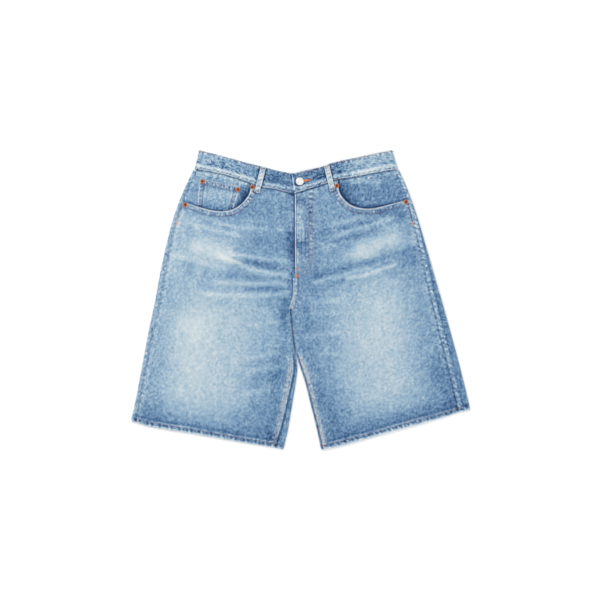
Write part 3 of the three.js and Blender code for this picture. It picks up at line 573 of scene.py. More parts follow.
def relief(rows, seams):
    """Sum of the rows' heights: ridges and hollows beside seams, and puckers along them."""
    total = 0
    for high, seam, shape, where, *pucker in rows:
        distance, run, turn = seams[seam]
        part = high * zone(seams, seam, *shape)
        for place in where:
            part = part * zone(seams, *place)
        for pitch, lean, seed in pucker:
            part = part * rope(run + lean * turn * distance, pitch, seed)
        total = total + part
    return total


def wear_and_shade_marks(rows, seams):
    """Sums of the rows' pale and dark marks: rubbed wear, and painted shade along seams and under raised
    edges. Puckers are pale on their crests, dark in their hollows.
    """
    pale = dark = 0
    for pale_part, dark_part, seam, shape, where, *pucker in rows:
        distance, run, turn = seams[seam]
        crest = zone(seams, seam, *shape)
        for place in where:
            crest = crest * zone(seams, *place)
        hollow = crest
        for pitch, lean, seed in pucker:
            wave = rope(run + lean * turn * distance, pitch, seed)
            crest, hollow = crest * positive(wave), hollow * positive(-wave)
        pale += pale_part * crest
        dark += dark_part * hollow
    return pale, dark


# Where a mark holds, as zones along an axis: two edges and a softness.
ALL = ()
RISE = (("y", -400, 45, 15),)
PARTED = (("y", -400, -125, 25),)
BELOW = (("y", -400, -20.02, 0.01),)
FLY_SIDE = (("y", 58, 400, 6),)
ABOVE_FLY = (("y", 60, 400, 8),)
ON_TOP = (("z", 3.4, 400, 1.4),)

# Relief of a front: height, seam, its zone, where it holds, and for puckers their pitch, lean and seed.
FRONT_RELIEF = (
    (0.34, "hem", (5.5, 5.5), ALL, (12.5, 0.9, 11)), (0.2, "mouth", (5.5, 3.0), ALL, (9, 0, 12)),
    (0.26, "outseam", (4, 4), ALL, (11, 0.5, 13)), (0.22, "band_seam", (3, 4), ALL, (10, 0, 14)),
    (0.35, "centre", (4, 3.5), RISE), (0.2, "centre", (4, 4), RISE, (9, 0, 15)),
    (-0.55, "mouth", (0, 0.9), ALL), (-0.3, "outseam", (0, 0.9), ALL), (-0.5, "inseam", (0, 0.9), PARTED),
    (-0.6, "band_seam", (0, 0.9), ALL), (-0.5, "centre", (0, 0.9), ALL),
)
FRONT_SEAMS = "mouth outseam inseam hem centre band_seam"
MOUTH_EASE = 1.6
HEM_EASE = 1.4


def hem_fold(distance):
    """1 on the turned hem, 0 above it."""
    return 1 - smoothstep(HEM_DEEP, HEM_DEEP + HEM_EASE, distance)


def front_height(side, x, y):
    """Height of a front panel's face: the two layers, the folds, the folded fly, the turned edge of the
    pocket mouth, the hem, puckers beside the seams, and a small roll into each seam."""
    seams = seams_of(side, np.stack([x, y], -1), FRONT_SEAMS)
    hem = seams["hem"][0]
    z = hip_lift(y) + LAYERS_HIGH + fold_relief(x, y) + whiskers(x, y)
    if side == "left":
        z += FLY_PROUD * fly_share(x, y)
    z += SCOOP_PROUD * (1 - smoothstep(SCOOP_DEEP, SCOOP_DEEP + MOUTH_EASE, seams["mouth"][0]))
    z += (HEM_HIGH - LAYERS_HIGH) * hem_fold(hem)
    quiet = smoothstep(4, 20, np.minimum(seams["outseam"][0], hem))
    return z + 0.22 * waves(x, y, 90, 26, 14, 3) * quiet + relief(FRONT_RELIEF, seams)


def tone_of_front(x, y):
    """Tone of a front panel: the base, the wash with its painted shade beside the fly, and cloudy unevenness.
    """
    cloudy = 0.03 * waves(x, y, 60, 9, 22, 5)
    return BASE_TONE + strokes(WASH_AND_SHADE, x, y, "tone") + whiskers(x, y) + cloudy


# Meshes.

def metres(points):
    """Millimetres of the laid garment to metres of the frame, whose origin is the outline's middle."""
    return (np.asarray(points, dtype=float) - OUTLINE_MIDDLE) * MM


def link(name, mesh):
    piece = bpy.data.objects.new(name, mesh)
    bpy.context.scene.collection.objects.link(piece)
    return piece


def facing(direction, points):
    """One direction for every point of a grid."""
    return np.broadcast_to(direction, points.shape)


def smooth_piece(name, points, faces, materials, crisp=None):
    """A linked piece of smooth faces, sharp only along edges that turn by more than the crisp angle."""
    mesh = bpy.data.meshes.new(name)
    mesh.from_pydata(points, [], faces)
    for material in materials:
        mesh.materials.append(material)
    mesh.polygons.foreach_set("use_smooth", np.ones(len(mesh.polygons), dtype=bool))
    if crisp:
        mesh.set_sharp_from_angle(angle=np.radians(crisp))
    return link(name, mesh)


def signed_volume(points, faces):
    """Sum over faces of the tetrahedra to the origin: positive where the faces point out."""
    a, b, c, d = (points[faces[:, k]] for k in range(4))
    first = np.einsum("ij,ij->i", a, np.cross(b, c))
    second = np.einsum("ij,ij->i", a, np.cross(c, d))
    return (first + second).sum() / 6


def cloth(name, outer, normal, thick, uv, values, materials, crisp=50):
    """A closed wall of cloth from a grid of outer points (rows, columns, 3) in millimetres, each moved in
    by its thickness along its normal for the inner face, with a rim round the edge."""
    tall, wide = outer.shape[:2]
    count = tall * wide
    inner = outer - normal * np.broadcast_to(thick, (tall, wide))[..., None]
    points = metres(np.concatenate([outer.reshape(-1, 3), inner.reshape(-1, 3)]))
    at = np.arange(count).reshape(tall, wide)
    a, b, c, d = at[:-1, :-1], at[1:, :-1], at[1:, 1:], at[:-1, 1:]
    face = np.stack([a, b, c, d], -1).reshape(-1, 4)
    back = np.stack([a, d, c, b], -1).reshape(-1, 4) + count
    rim = np.concatenate([at[0, :-1], at[:-1, -1], at[-1, :0:-1], at[:0:-1, 0]])
    ahead = np.roll(rim, -1)
    side_faces = np.stack([rim, ahead, ahead + count, rim + count], -1)
    faces = np.concatenate([face, back, side_faces])
    if signed_volume(points, faces) < 0:
        faces = faces[:, ::-1]
    piece = smooth_piece(name, points, faces, materials, crisp)
    mesh = piece.data
    flat_uv = np.concatenate([uv.reshape(-1, 2), uv.reshape(-1, 2)]) * MM
    layer = mesh.uv_layers.new(name="cloth")
    layer.data.foreach_set("uv", flat_uv[faces.reshape(-1)].ravel())
    for key, value in values.items():
        grid = np.broadcast_to(value, (tall, wide)).ravel()
        attribute = mesh.attributes.new(key, "FLOAT", "POINT")
        attribute.data.foreach_set("value", np.concatenate([grid, grid]).astype(np.float32))
    index = np.zeros(len(faces), dtype=np.int32)
    index[len(face):len(face) + len(back)] = 1
    mesh.polygons.foreach_set("material_index", index)
    mesh.update()
    return piece


def declare(piece, nodes, flat=None):
    """The piece rides with the garment and stands for its solids. For laid cloth it reads its triangles'
    areas and does nothing more with them.
    """
    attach(piece, "root")
    if nodes:
        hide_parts(*nodes)
    if flat:
        triangles = piece.data.loop_triangles
        areas = np.empty(len(triangles), dtype=np.float32)
        triangles.foreach_get("area", areas)
    return piece


def spaced(length, step, fine_at=(), fine_wide=6.0, fine_step=1.2):
    """Places from 0 to length, a step apart, closer together beside the given places."""
    places = [0.0]
    while places[-1] < length:
        near = min((abs(places[-1] - place) for place in fine_at), default=1e9)
        places.append(places[-1] + (fine_step if near < fine_wide else step))
    places = np.array(places)
    return places / places[-1] * length


def run_across(points):
    """Length run along each row of a grid."""
    steps = np.linalg.norm(np.diff(points, axis=1), axis=2)
    return np.concatenate([np.zeros((len(points), 1)), np.cumsum(steps, axis=1)], axis=1)


def settled_mouth(side, share, away, end):
    gap = end - scoop_at(side, np.array([1.0]), away)[0]
    return scoop_at(side, share, away) + gap * share[:, None] ** 4


def hem_bow(side, share):
    """The hem's height above the straight line between its ends, at shares of the way across the leg."""
    x = mix(INNER[side]["x"][0], OUTER[side]["x"][0], share)
    return hem_y[side](x) - mix(HEM_IN_Y[side], HEM_OUT_Y[side], share)


ROW_CLEAR = 0.6
FINE_WIDE = 5.0
HEM_LEVEL = 60
MOUTH_LONG = 170.0
MOUTH_CROWDING = 0.9


def leg_rows(side, step, fine_step):
    """Shares from pocket mouth to hem, and the heights of each row's inner and outer end."""
    long_in = WAIST_Y - HEM_IN_Y[side]
    long_out = MOUTH_Y[side] - HEM_OUT_Y[side]
    places = spaced(long_in, step, (0.0, SCOOP_DEEP, long_in - HEM_DEEP, long_in), FINE_WIDE, fine_step)
    crotch = WAIST_Y - CROTCH_Y
    places = places[(places < crotch - CROTCH_STEP - ROW_CLEAR) | (places > crotch + ROW_CLEAR)]
    places = np.sort(np.concatenate([places, [crotch - CROTCH_STEP, crotch]]))
    share = places / long_in
    deep_in = long_in - places
    deep_out = long_out * (1 - share)
    deep_out = mix(deep_in, deep_out, smoothstep(HEM_DEEP, HEM_LEVEL, deep_in))
    return share, HEM_IN_Y[side] + deep_in, HEM_OUT_Y[side] + deep_out


def front_inner(side, y):
    """The front's inner boundary: the fly or rise seam, then the inner seam inside the leg's fold."""
    above = np.stack([centre_x(y) + SIGN[side] * SEAM_GAP / 2, y], -1)
    below = inside_fold(inner_fold[side](y), np.full_like(y, SEAM_GAP / 2))
    return np.where((y > CROTCH_Y + SMALL_STEP)[:, None], above, below)


def front_plan(side, step, fine_step):
    """Plan points of a front panel: rows ruled between the inner and outer seams, bowed at the top to the
    waistband and pocket mouth and at the foot to the hem, each bow fading with the share of the length."""
    share, y_in, y_out = leg_rows(side, step, fine_step)
    inner = front_inner(side, y_in)
    outer = inside_fold(outer_fold[side](y_out), np.full_like(y_out, SEAM_GAP / 2))
    start = scoop_at(side, np.array([0.0]), -SEAM_GAP / 2)[0]
    waist_long = abs(start[0] - inner[0, 0])
    waist = spaced(waist_long, step, (0.0, waist_long), FINE_WIDE, fine_step)[:-1] / waist_long * SCOOP_SHARE
    crowded = step * MOUTH_CROWDING
    mouth = spaced(MOUTH_LONG, crowded, (0.0, MOUTH_LONG), FINE_WIDE, fine_step) / MOUTH_LONG
    across = np.concatenate([waist, mix(SCOOP_SHARE, 1.0, mouth)])
    x = mix(inner[0, 0], start[0], waist / SCOOP_SHARE)
    top = np.concatenate([
        np.stack([x, band_seam_y(x) - SEAM_GAP / 2], -1),
        settled_mouth(side, mouth, -SEAM_GAP / 2, outer[0]),
    ])
    top[:, 1] = np.minimum(top[:, 1], band_seam_y(top[:, 0]) - SEAM_GAP / 2)
    ruled = mix(inner[:, None, :], outer[:, None, :], across[None, :, None])
    bow = top - mix(inner[0], outer[0], across[:, None])
    plan = ruled + bow[None] * (1 - share)[:, None, None]
    plan[..., 1] += hem_bow(side, across)[None] * share[:, None]
    return plan


UP = np.array([0.0, 0.0, 1.0])

# Streaks down the folded fly: place across, width, tone, then the heights between which each runs.
FLY_STREAKS = columns("across wide tone low high", [
    (6.2, 1.9, 0.72, 132, 198), (8.9, 0.8, -0.4, 132, 198), (11.6, 2.2, 0.64, 126, 202),
    (14.2, 0.8, -0.3, 70, 204), (16.4, 1.4, 0.42, 120, 206), (19.8, 1.5, 0.34, 112, 206),
    (22.4, 0.9, -0.3, 80, 204), (25.2, 1.3, 0.22, 70, 212), (28.2, 0.9, -0.3, 90, 214),
    (6.0, 1.6, 0.58, 66, 106), (8.8, 0.9, -0.35, 60, 112), (11.2, 1.2, 0.4, 72, 112),
    (18.0, 1.2, 0.3, 74, 112),
])


def fly_marks(centre, y):
    """Wear of the folded fly: rubbed streaks beside its edge, a ladder of puckers, dark folds."""
    pale = dark = 0
    for across, wide, tone, low, high in zip(*FLY_STREAKS.values()):
        streak = bell(centre - across, wide) * window(y, low, high, 6) * (0.8 + 0.2 * rope(y, 17, across))
        pale += max(tone, 0) * streak
        dark += max(-tone, 0) * streak
    ladder = rope(y, 9, 33) * window(centre, 30.5, 36.0, 1.0) * smoothstep(88, 96, y)
    pale += 0.45 * positive(ladder)
    dark += (0.5 * smoothstep(120, 190, y) + 0.3) * positive(-ladder)
    folds = window(centre, 3.5, 22.0, 3) * (0.6 + 0.4 * rope(y + 0.4 * centre, 8, 34))
    return pale, dark + 0.9 * folds * (bell(y - 207, 8) + 0.8 * bell(y - 119, 12))


# Wear and painted shade of a front: pale and dark strength, seam, its zone, where it holds, and the puckers'
# pitch, lean, seed.
# The dark lines just outside the mouth's turned edge, just under the band, beyond the rise seam's fold and at
# the inner seam are painted shade; the pale line at the mouth's very edge is rubbed wear with a painted
# highlight.
FRONT_WEAR_AND_SHADE = (
    (0.95, 0, "mouth", (0.7, 1.1), ALL), (0.5, 0.55, "mouth", (3.6, 9.0, 1.2), ALL, (5.5, 0, 12)),
    (0, 0.5, "mouth", (11.8, 1.2), ALL), (0.3, 0.15, "outseam", (0.8, 4.6, 2.5), ALL, (9.5, 0.6, 13)),
    (0.15, 0, "outseam", (4, 10, 3), ALL), (0, 0.5, "outseam", (2.4, 1.2), ALL),
    (0.55, 0, "hem", (0.4, 8.4, 1.2), ALL, (8.5, 0.5, 11)),
    (0, 0.6, "hem", (4.2, 9.0, 1.2), ALL, (8.5, 0.5, 11)), (0.35, 0, "hem", (11.8, 1.1), ALL),
    (0.5, 0, "hem", (-1, 2.6, 1.6), ALL), (0, 0.3, "hem", (4.2, 9.0, 1.2), ALL),
    (0, 0.35, "hem", (15.5, 3.5), ALL), (0.35, 0.3, "band_seam", (4.2, 3.2), ALL, (9, 0, 14)),
    (0, 0.5, "band_seam", (0.8, 1.2), ALL), (0.55, 0, "centre", (1.0, 1.6), RISE),
    (0.5, 0.4, "centre", (2.6, 2.2), RISE, (6.5, 0, 15)), (0, 0.55, "centre", (6.6, 1.2), RISE),
    (0, 0.1, "inseam", (0, 1.3), BELOW), (0, 0.5, "inseam", (0, 1.3), PARTED),
)
# Marks of one front only. On the right one, the dark line beside the felled inner seam and the dark along the
# fly's edge, in the corner under the band by the fly and left of the fly are painted shadow; the dark at x
# about -36 by the crotch only darkens the tone there.
SIDE_WEAR_AND_SHADE = {
    "right": (
        (0, 0.95, "inseam", (2.2, 1.2), PARTED), (0, 0.3, "x", (-36, 9), (("y", -30, 24),)),
        (0, 0.8, "centre", (0.4, 2.4), ABOVE_FLY), (0, 1.4, "x", (-13, 10), (("band_seam", 1.5, 4.5),)),
        (0, 0.35, "centre", (4, 9), (("y", 113, 30),)),
    ),
    "left": ((1.0, 0, "centre", (0.9, 1.2), FLY_SIDE), (0, 0.65, "centre", (3.1, 0.9), FLY_SIDE)),
}
INNER_FELL = {"right": (4.4, 14.6), "left": (1.4, 6.4)}
FRONT_CRINKLE = (
    (0.5, "mouth", (0, 12, 4), ALL), (0.4, "outseam", (0, 10, 6), ALL), (0.5, "band_seam", (0, 16, 8), ALL),
    (0.5, "inseam", (0, 10, 6), PARTED), (0.55, "centre", (0, 10, 8), ALL), (0.5, "hem", (0, 12, 4), ALL),
)
FLY_CRINKLE = (0.6, "centre", (0, 37, 4), (("y", 80, 400, 20),))
MOST_PALE = 1.2
MOST_DARK = 1.3
# Painted shadow on the cloth beside the front belt loops: its strength, distance outside the loop's edge, and
# width.
LOOP_SHADE = (0.8, 1.2, 1.4)


def marks(tone, pale, dark, crinkle):
    """The four values that the denim is coloured by, held in their ranges."""
    return {"tone": tone, "pale": np.clip(pale, 0, MOST_PALE), "dark": np.clip(dark, 0, MOST_DARK),
            "crinkle": np.clip(crinkle, 0, 1)}


# Painted shadow just outside a front belt loop's edge.
def loop_shade(side, xy):
    strength, place, wide = LOOP_SHADE
    return strength * bell(loop_distance(side, xy) - place, wide)


def fell_wear(side):
    """Rows of wear on the felled inner seam, between its two lines of stitches."""
    near, far = INNER_FELL[side]
    return (
        (0.3, 0.35, "inseam", (near, far, 1.2), PARTED, (6.5, -0.5, 17)),
        (0.5, 0, "inseam", (far, 1.1), PARTED),
        (0.32, 0, "inseam", (near, far, 1.2), PARTED), (0.4, 0, "inseam", (near, 1.1), PARTED),
    )


def front_marks(side, xy):
    """Tone, pale rubbed lines and dark hollows of a front panel, with painted shade along seams, raised edges
    and belt loops, and how crinkled it is.
    """
    seams = seams_of(side, xy, FRONT_SEAMS)
    pale, dark = wear_and_shade_marks(FRONT_WEAR_AND_SHADE + fell_wear(side) + SIDE_WEAR_AND_SHADE[side], seams)
    x, y = xy[..., 0], xy[..., 1]
    centre = seams["centre"][0]
    crinkles = FRONT_CRINKLE
    if side == "left":
        fly_pale, fly_dark = fly_marks(centre, y)
        pale += fly_pale
        dark += fly_dark
        crinkles += (FLY_CRINKLE,)
    else:
        dark += 0.4 * positive(rope(y, 8, 35)) * bell(centre - 3, 3) * window(y, 60, 96, 6)
        pale += 0.4 * bell(centre - 9, 1.6) * window(y, 120, 180, 14) * (0.6 + 0.4 * rope(y, 12, 36))
    crinkle = np.maximum.reduce([relief([row], seams) for row in crinkles])
    # The dark added beside the belt loop is painted shadow.
    return marks(tone_of_front(x, y), pale, dark + loop_shade(side, xy), crinkle)


def loop_distance(side, xy):
    """Distance outside the front belt loop's edge."""
    top, foot = FRONT_LOOPS[side]
    long = np.linalg.norm(foot - top)
    along = (foot - top) / long
    place = xy - top
    run = place @ along
    across = np.abs(place @ left_of(along))
    beyond = positive(np.maximum(-run, run - long))
    return np.hypot(positive(across - LOOP_WIDE / 2), beyond)


def front_panel(side, sizes, materials):
    plan = front_plan(side, sizes.grid_step, sizes.fine_step)
    z = front_height(side, plan[..., 0], plan[..., 1])
    hem, _ = LINES[f"hem_{side}"].near(plan)
    thick = CLOTH + (HEM_WALL - CLOTH) * hem_fold(hem)
    points = np.concatenate([plan, z[..., None]], -1)
    values = front_marks(side, plan)
    return cloth(f"denim_front_{side}", points, facing(UP, points), thick, plan, values, materials)


# Back pieces.

FOLD_TURNS = 8
LEAD_COLUMNS = 4
TAIL_COLUMNS = 6
BACK_WIDE = 260
YOKE_ROWS = 20
YOKE_COLUMNS = 60
EXTRA_ROWS = np.array([0.0, 0.25, 0.5, 0.75])


def back_rows(side, y_in, y_out, above, hem_share, across, bow, turns=FOLD_TURNS):
    """Rows of a back piece: from the centre seam or inner seam, round the leg's inner fold, flat under the
    garment, round the side fold (a half circle of half the layers' height) and up to the outer seam."""
    count = len(y_in)
    high = LAYERS_HIGH + (HEM_HIGH - LAYERS_HIGH) * hem_share
    thick = CLOTH + (HEM_WALL - CLOTH) * hem_share
    angle = np.pi * (0.5 - np.arange(turns + 1) / turns)
    radius = high / 2
    lift_in = hip_lift(y_in)
    lift_out = hip_lift(y_out)

    def turn(fold, lift, angles):
        point, normal, _ = fold
        inside = radius[:, None] * (1 - np.cos(angles))
        xy = point[:, None, :] + normal[:, None, :] * inside[..., None]
        z = lift[:, None] + radius[:, None] * (1 + np.sin(angles))
        out = np.concatenate([
            -normal[:, None, :] * np.cos(angles)[None, :, None],
            np.broadcast_to(np.sin(angles)[None, :, None], (count, len(angles), 1)),
        ], -1)
        return np.concatenate([xy, z[..., None]], -1), out

    inner = inner_fold[side](y_in)
    wrap, wrap_out = turn(inner, lift_in, angle)
    flats = LEAD_COLUMNS
    seam = inner[2] - SEAM_GAP / 2
    place = mix(seam[:, None], radius[:, None], np.arange(flats)[None] / flats)
    lead = inner[0][:, None, :] + inner[1][:, None, :] * place[..., None]
    lead = np.concatenate([lead, np.broadcast_to((lift_in + high)[:, None, None], (count, flats, 1))], -1)
    lead_out = np.broadcast_to(UP, lead.shape)
    wrapped = np.concatenate([lead, wrap], 1)
    wrapped_out = np.concatenate([lead_out, wrap_out], 1)

    strip = SEAM_GAP / 2 + INNER_STRIP * np.arange(flats + turns + 1) / (flats + turns)
    flat_x = centre_x(y_in)[:, None] + SIGN[side] * strip[None]
    flat = np.stack([flat_x, np.broadcast_to(y_in[:, None], flat_x.shape),
                     np.broadcast_to(lift_in[:, None], flat_x.shape)], -1)
    flat_out = np.broadcast_to(-UP, flat.shape)
    first = np.where(above[:, None, None], flat, wrapped)
    first_out = np.where(above[:, None, None], flat_out, wrapped_out)

    outer = outer_fold[side](y_out)
    last, last_out = turn(outer, lift_out, -angle)
    start = first[:, -1, :2]
    end = last[:, 0, :2]
    middle = mix(start[:, None, :], end[:, None, :], across[None, :, None])
    middle[..., 1] += bow(across, middle, start, end)
    middle_z = hip_lift(middle[..., 1])
    middle = np.concatenate([middle, middle_z[..., None]], -1)
    middle_out = np.broadcast_to(-UP, middle.shape)

    seam = outer[2] - SEAM_GAP / 2
    steps = TAIL_COLUMNS
    place = mix(radius[:, None], seam[:, None], np.arange(1, steps + 1)[None] / steps)
    tail = outer[0][:, None, :] + outer[1][:, None, :] * place[..., None]
    tail = np.concatenate([tail, np.broadcast_to((lift_out + high)[:, None, None], (count, steps, 1))], -1)
    tail_out = np.broadcast_to(UP, tail.shape)
    points = np.concatenate([first, middle, last, tail], 1)
    out = np.concatenate([first_out, middle_out, last_out, tail_out], 1)
    return points, out, thick


# Wear and painted shade of the back's edges that show beside the front, in the same columns; the felled band,
# then the rest.
# The dark line beyond the felled band is painted shade.
BACK_FELL_WEAR_AND_SHADE = (
    (0.3, 0, "outseam", (0.4, 6.6, 1.2), ON_TOP),
    (0.55, 0.45, "outseam", (0.4, 6.6, 1.2), ON_TOP, (8.5, -0.8, 21)),
    (0, 0.45, "outseam", (9.4, 1.4), ON_TOP),
)
# The dark lines where the back meets the front at the outer and inner seams are painted shade.
BACK_WEAR_AND_SHADE = (
    (0.4, 0, "inseam", (0.6, 3.0, 1.2), ON_TOP, (7, 0, 22)), (0, 0.3, "outseam", (0, 1.1), ON_TOP),
    (0.55, 0, "hem", (0.4, 8.4, 1.2), ALL, (8.5, 0, 23)), (0.5, 0, "hem", (-1, 2.6, 1.6), ALL),
    (0, 0.7, "inseam", (0, 1.6), ON_TOP + PARTED), (0, 0.4, "hem", (12.0, 2.0), ALL),
    (0, 0.3, "hem", (4.2, 9.0, 1.2), ALL), (0, 0.6, "hem", (4.2, 9.0, 1.2), ALL, (8.5, 0, 23)),
)
BACK_SEAMS = "outseam inseam hem"
BACK_TONE = 0.3
BACK_FELL = {"right": 0.5, "left": 1.0}
BACK_INNER = {"right": 1.0, "left": 0.4}
BACK_STRIP = {"right": 0.0, "left": 0.1}


def back_marks(side, points):
    """Tone, pale lines and dark hollows of the back's edges that show beside the front, with painted shade in
    the crevice at the inner fold and along the seams.
    """
    seams = seams_of(side, points, BACK_SEAMS)
    x, y = points[..., 0], points[..., 1]
    out, out_run, _ = seams["outseam"]
    inn = seams["inseam"][0]
    top = zone(seams, *ON_TOP[0])
    parted = zone(seams, *PARTED[0])
    pale, dark = wear_and_shade_marks(BACK_WEAR_AND_SHADE, seams)
    fell_pale, fell_dark = wear_and_shade_marks(BACK_FELL_WEAR_AND_SHADE, seams)
    edge = np.abs(x - outer_fold[side](y)[0][..., 0])
    inner_edge = np.abs(x - inner_fold[side](y)[0][..., 0])
    pale += BACK_FELL[side] * fell_pale + 0.35 * bell(edge - 0.8, 1.3) * (0.6 + 0.4 * rope(out_run, 12, 24))
    # Painted shade: the dark along the inner fold's edge where the legs touch, in the crevice between the two
    # folds.
    dark += BACK_FELL[side] * fell_dark + 0.9 * bell(inner_edge, 1.4) * (1 - parted) * (y < CROTCH_Y + 1)
    inner_dark = BACK_INNER[side] * smoothstep(30, 12, inn) * (y < CROTCH_Y) * (0.3 + 0.7 * parted)
    tone = BACK_TONE + 0.05 * waves(x, y, 50, 9, 18, 6) - 0.05 * inner_dark * top
    tone += 0.3 * strokes(WASH_AND_SHADE, x, y, "tone") - BACK_STRIP[side] * window(out, 5, 30, 3) * top
    crinkle = np.maximum(0.45 * window(out, 0, 12, 6), 0.5 * zone(seams, "hem", 0, 12, 4))
    return marks(tone, pale, dark, crinkle)


BACK_RELIEF = (
    (0.3, "outseam", (4, 3), ALL, (11, 0, 25)), (0.22, "inseam", (3, 3), PARTED, (9, 0, 26)),
    (-0.5, "inseam", (0, 0.9), PARTED), (-0.5, "outseam", (0, 0.9), ALL),
    (0.3, "hem", (5.5, 5), ALL, (12.5, 0, 11)),
)


def back_relief(side, points, out):
    """Small puckers and the roll into the seams, along the normals of the parts that show on top."""
    rise = relief(BACK_RELIEF, seams_of(side, points[..., :2], BACK_SEAMS))
    return points + out * (rise * (out[..., 2] > 0.5))[..., None]


def worn_and_shaded_back(name, side, rows, materials):
    """A back piece from its rows: marks and relief, and the weave laid along each row."""
    points, out, thick = rows
    uv = np.stack([run_across(points), points[..., 1]], -1)
    values = back_marks(side, points)
    points = back_relief(side, points, out)
    return cloth(f"denim_{name}_{side}", points, out, thick[:, None], uv, values, materials)


def back_panel(side, sizes, materials):
    share, y_in, y_out = leg_rows(side, sizes.back_step, sizes.fine_step)
    crotch = (WAIST_Y - CROTCH_Y) / (WAIST_Y - HEM_IN_Y[side])
    above = share < crotch - 0.001
    join = np.flatnonzero(above)[-1]
    top_in = YOKE_CENTRE - SEAM_GAP
    remap = mix(top_in, y_in[join], (YOKE_SIDE - y_out) / (YOKE_SIDE - y_out[join]))
    y_in = np.where(above, remap, y_in)
    y_out = np.concatenate([mix(YOKE_SIDE, y_out[0], EXTRA_ROWS), y_out])
    y_in = np.concatenate([mix(top_in, y_in[0], EXTRA_ROWS), y_in])
    above = np.concatenate([np.ones(len(EXTRA_ROWS), dtype=bool), above])
    share = np.concatenate([np.zeros(len(EXTRA_ROWS)), share])
    deep = y_in - HEM_IN_Y[side]
    hem_share = hem_fold(deep)
    across = np.linspace(0, 1, int(BACK_WIDE / sizes.back_step) + 1)[1:-1]

    def bow(shares, _middle, _start, _end):
        return hem_bow(side, shares)[None] * share[:, None]

    rows = back_rows(side, y_in, y_out, above, hem_share, across, bow)
    return worn_and_shaded_back("back", side, rows, materials)


def back_yoke(side, materials):
    steps = np.linspace(0, 1, YOKE_ROWS)
    top_out = OUTER[side]["y"][-1] - 2 * SEAM_GAP
    y_out = mix(top_out, YOKE_SIDE + SEAM_GAP, steps)
    y_in = mix(WAIST_Y - SEAM_GAP, YOKE_CENTRE, steps)
    across = np.linspace(0, 1, YOKE_COLUMNS)[1:-1]

    def bow(shares, middle, start, end):
        ends = mix((band_seam_y(start[:, 0]) - start[:, 1])[:, None],
                   (band_seam_y(end[:, 0]) - end[:, 1])[:, None], shares[None])
        return (band_seam_y(middle[..., 0]) - ends - middle[..., 1]) * (1 - steps)[:, None]

    none = np.zeros_like(steps)
    rows = back_rows(side, y_in, y_out, np.ones(YOKE_ROWS, dtype=bool), none, across, bow)
    return worn_and_shaded_back("yoke", side, rows, materials)


def back_pocket(side, materials):
    """A plain five-sided patch: its foot falls to a point at the middle."""
    across = np.linspace(-1, 1, 41)
    down = np.linspace(0, 1, 36)
    wide = mix(BACK_POCKET["wide"], BACK_POCKET["foot_wide"], down)[:, None] / 2
    deep = BACK_POCKET["deep"] - BACK_POCKET["point"] * np.abs(across)
    x = BACK_POCKET_X[side] + across[None] * wide
    y = BACK_POCKET["mouth"] - down[:, None] * deep[None]
    points = np.stack([x, y, np.zeros_like(x)], -1)
    edge = np.minimum(1 - np.abs(across)[None], np.minimum(down, 1 - down)[:, None]) * 70
    values = {"tone": 0.36 + 0.04 * waves(x, y, 50, 9, 18, 8), "pale": 0.4 * bell(edge - 0.5, 1.6),
              "dark": 0.0, "crinkle": 0.3}
    name = f"denim_back_pocket_{side}"
    return cloth(name, points, facing(-UP, points), PATCH_WALL, points[..., :2], values, materials)


# Pocket facings and coin pocket, with the tables' columns as for the fronts.

NEAR_START = (("mouth_run", -1, 90, 80),)
FACING_STEP = 2.6
FACING_FINE = 1.2
FACING_ROWS = (20, 14)
COIN_GRID = (46, 32)
FACING_TONE = {"right": 0.34, "left": 0.16}
# Tone of the facings. Right: painted shadow between the coin pocket and the mouth. Left: painted shadow near
# the mouth's upper corner, and a pale streak.
FACING_SHADE = {
    "right": ((-0.45, "x", (-115, 17), (("y", 213, 26),)),),
    "left": ((-0.34, "x", (84, 26), (("y", 226, 26),)), (0.26, "streak", (0, 6), ALL)),
}
FACING_RELIEF = ((0.25, "band_seam", (4, 3), ALL, (10, 0, 14)), (0.3, "band_seam", (6, 3), ALL))
# The dark rows along the mouth are painted shadow under the front's turned edge, strongest near its start;
# the pale rope by the side seam is wear.
FACING_WEAR_AND_SHADE = (
    (0, 0.6, "mouth", (0, 3.6), ALL), (0, 0.5, "mouth", (0, 3.6), NEAR_START),
    (0, 0.45, "mouth", (0, 9), NEAR_START), (0, 0.3, "outseam", (0, 1.2), ALL),
    (0.5, 0, "outseam", (3, 2.4), ALL, (8, 0, 28)),
)
# Painted shade on the facing along the band's lower edge, uneven along it.
FACING_DARK = ((0.315, "band_seam", (0, 1.5), ALL), (0.135, "band_seam", (0, 1.5), ALL, (6, 0, 29)))
FACING_PALE = ((0.4, "band_seam", (5.5, 3.2), ALL), (0.25, "band_seam", (5.5, 3.2), ALL, (12, 0, 30)))
FACING_CRINKLE = ((0.5, "band_seam", (0, 14, 8), ALL),)
FACING_STREAK = np.array([(105.0, 250.0), (165.0, 248.0)])
COIN_RELIEF = ((-0.5, "edge", (0, 0.9), ALL), (0.15, "top", (6, 3), ALL, (8, 0, 16)))
# Tone of the coin pocket: darker by the mouth, painted shadow under the front's turned edge; paler about y
# 222; darker near its sides.
COIN_SHADE = ((-0.2, "mouth", (0, 10), ALL), (0.16, "y", (222, 15), ALL), (-0.12, "side", (-1, 9, 6), ALL))
# Rubbed edges and pale puckers are wear; the dark between the rows of stitching is partly painted shade, and
# the dark lines beyond the outer rows and along the mouth are painted shade.
COIN_WEAR_AND_SHADE = (
    (0.7, 0, "edge", (0.6, 1.1), ALL), (0.5, 0.55, "top", (3.6, 8.4, 1.2), ALL, (6.0, 0, 18)),
    (0.4, 0.45, "side", (3.6, 8.4, 1.2), ALL, (6.5, 0, 19)),
    (0.35, 0, "side", (12.5, 1.6), (("top", 16, 400, 6),)),
    (0, 0.65, "top", (11.8, 1.3), ALL), (0, 0.55, "side", (11.2, 1.0), ALL), (0, 0.6, "mouth", (0, 4.0), ALL),
)


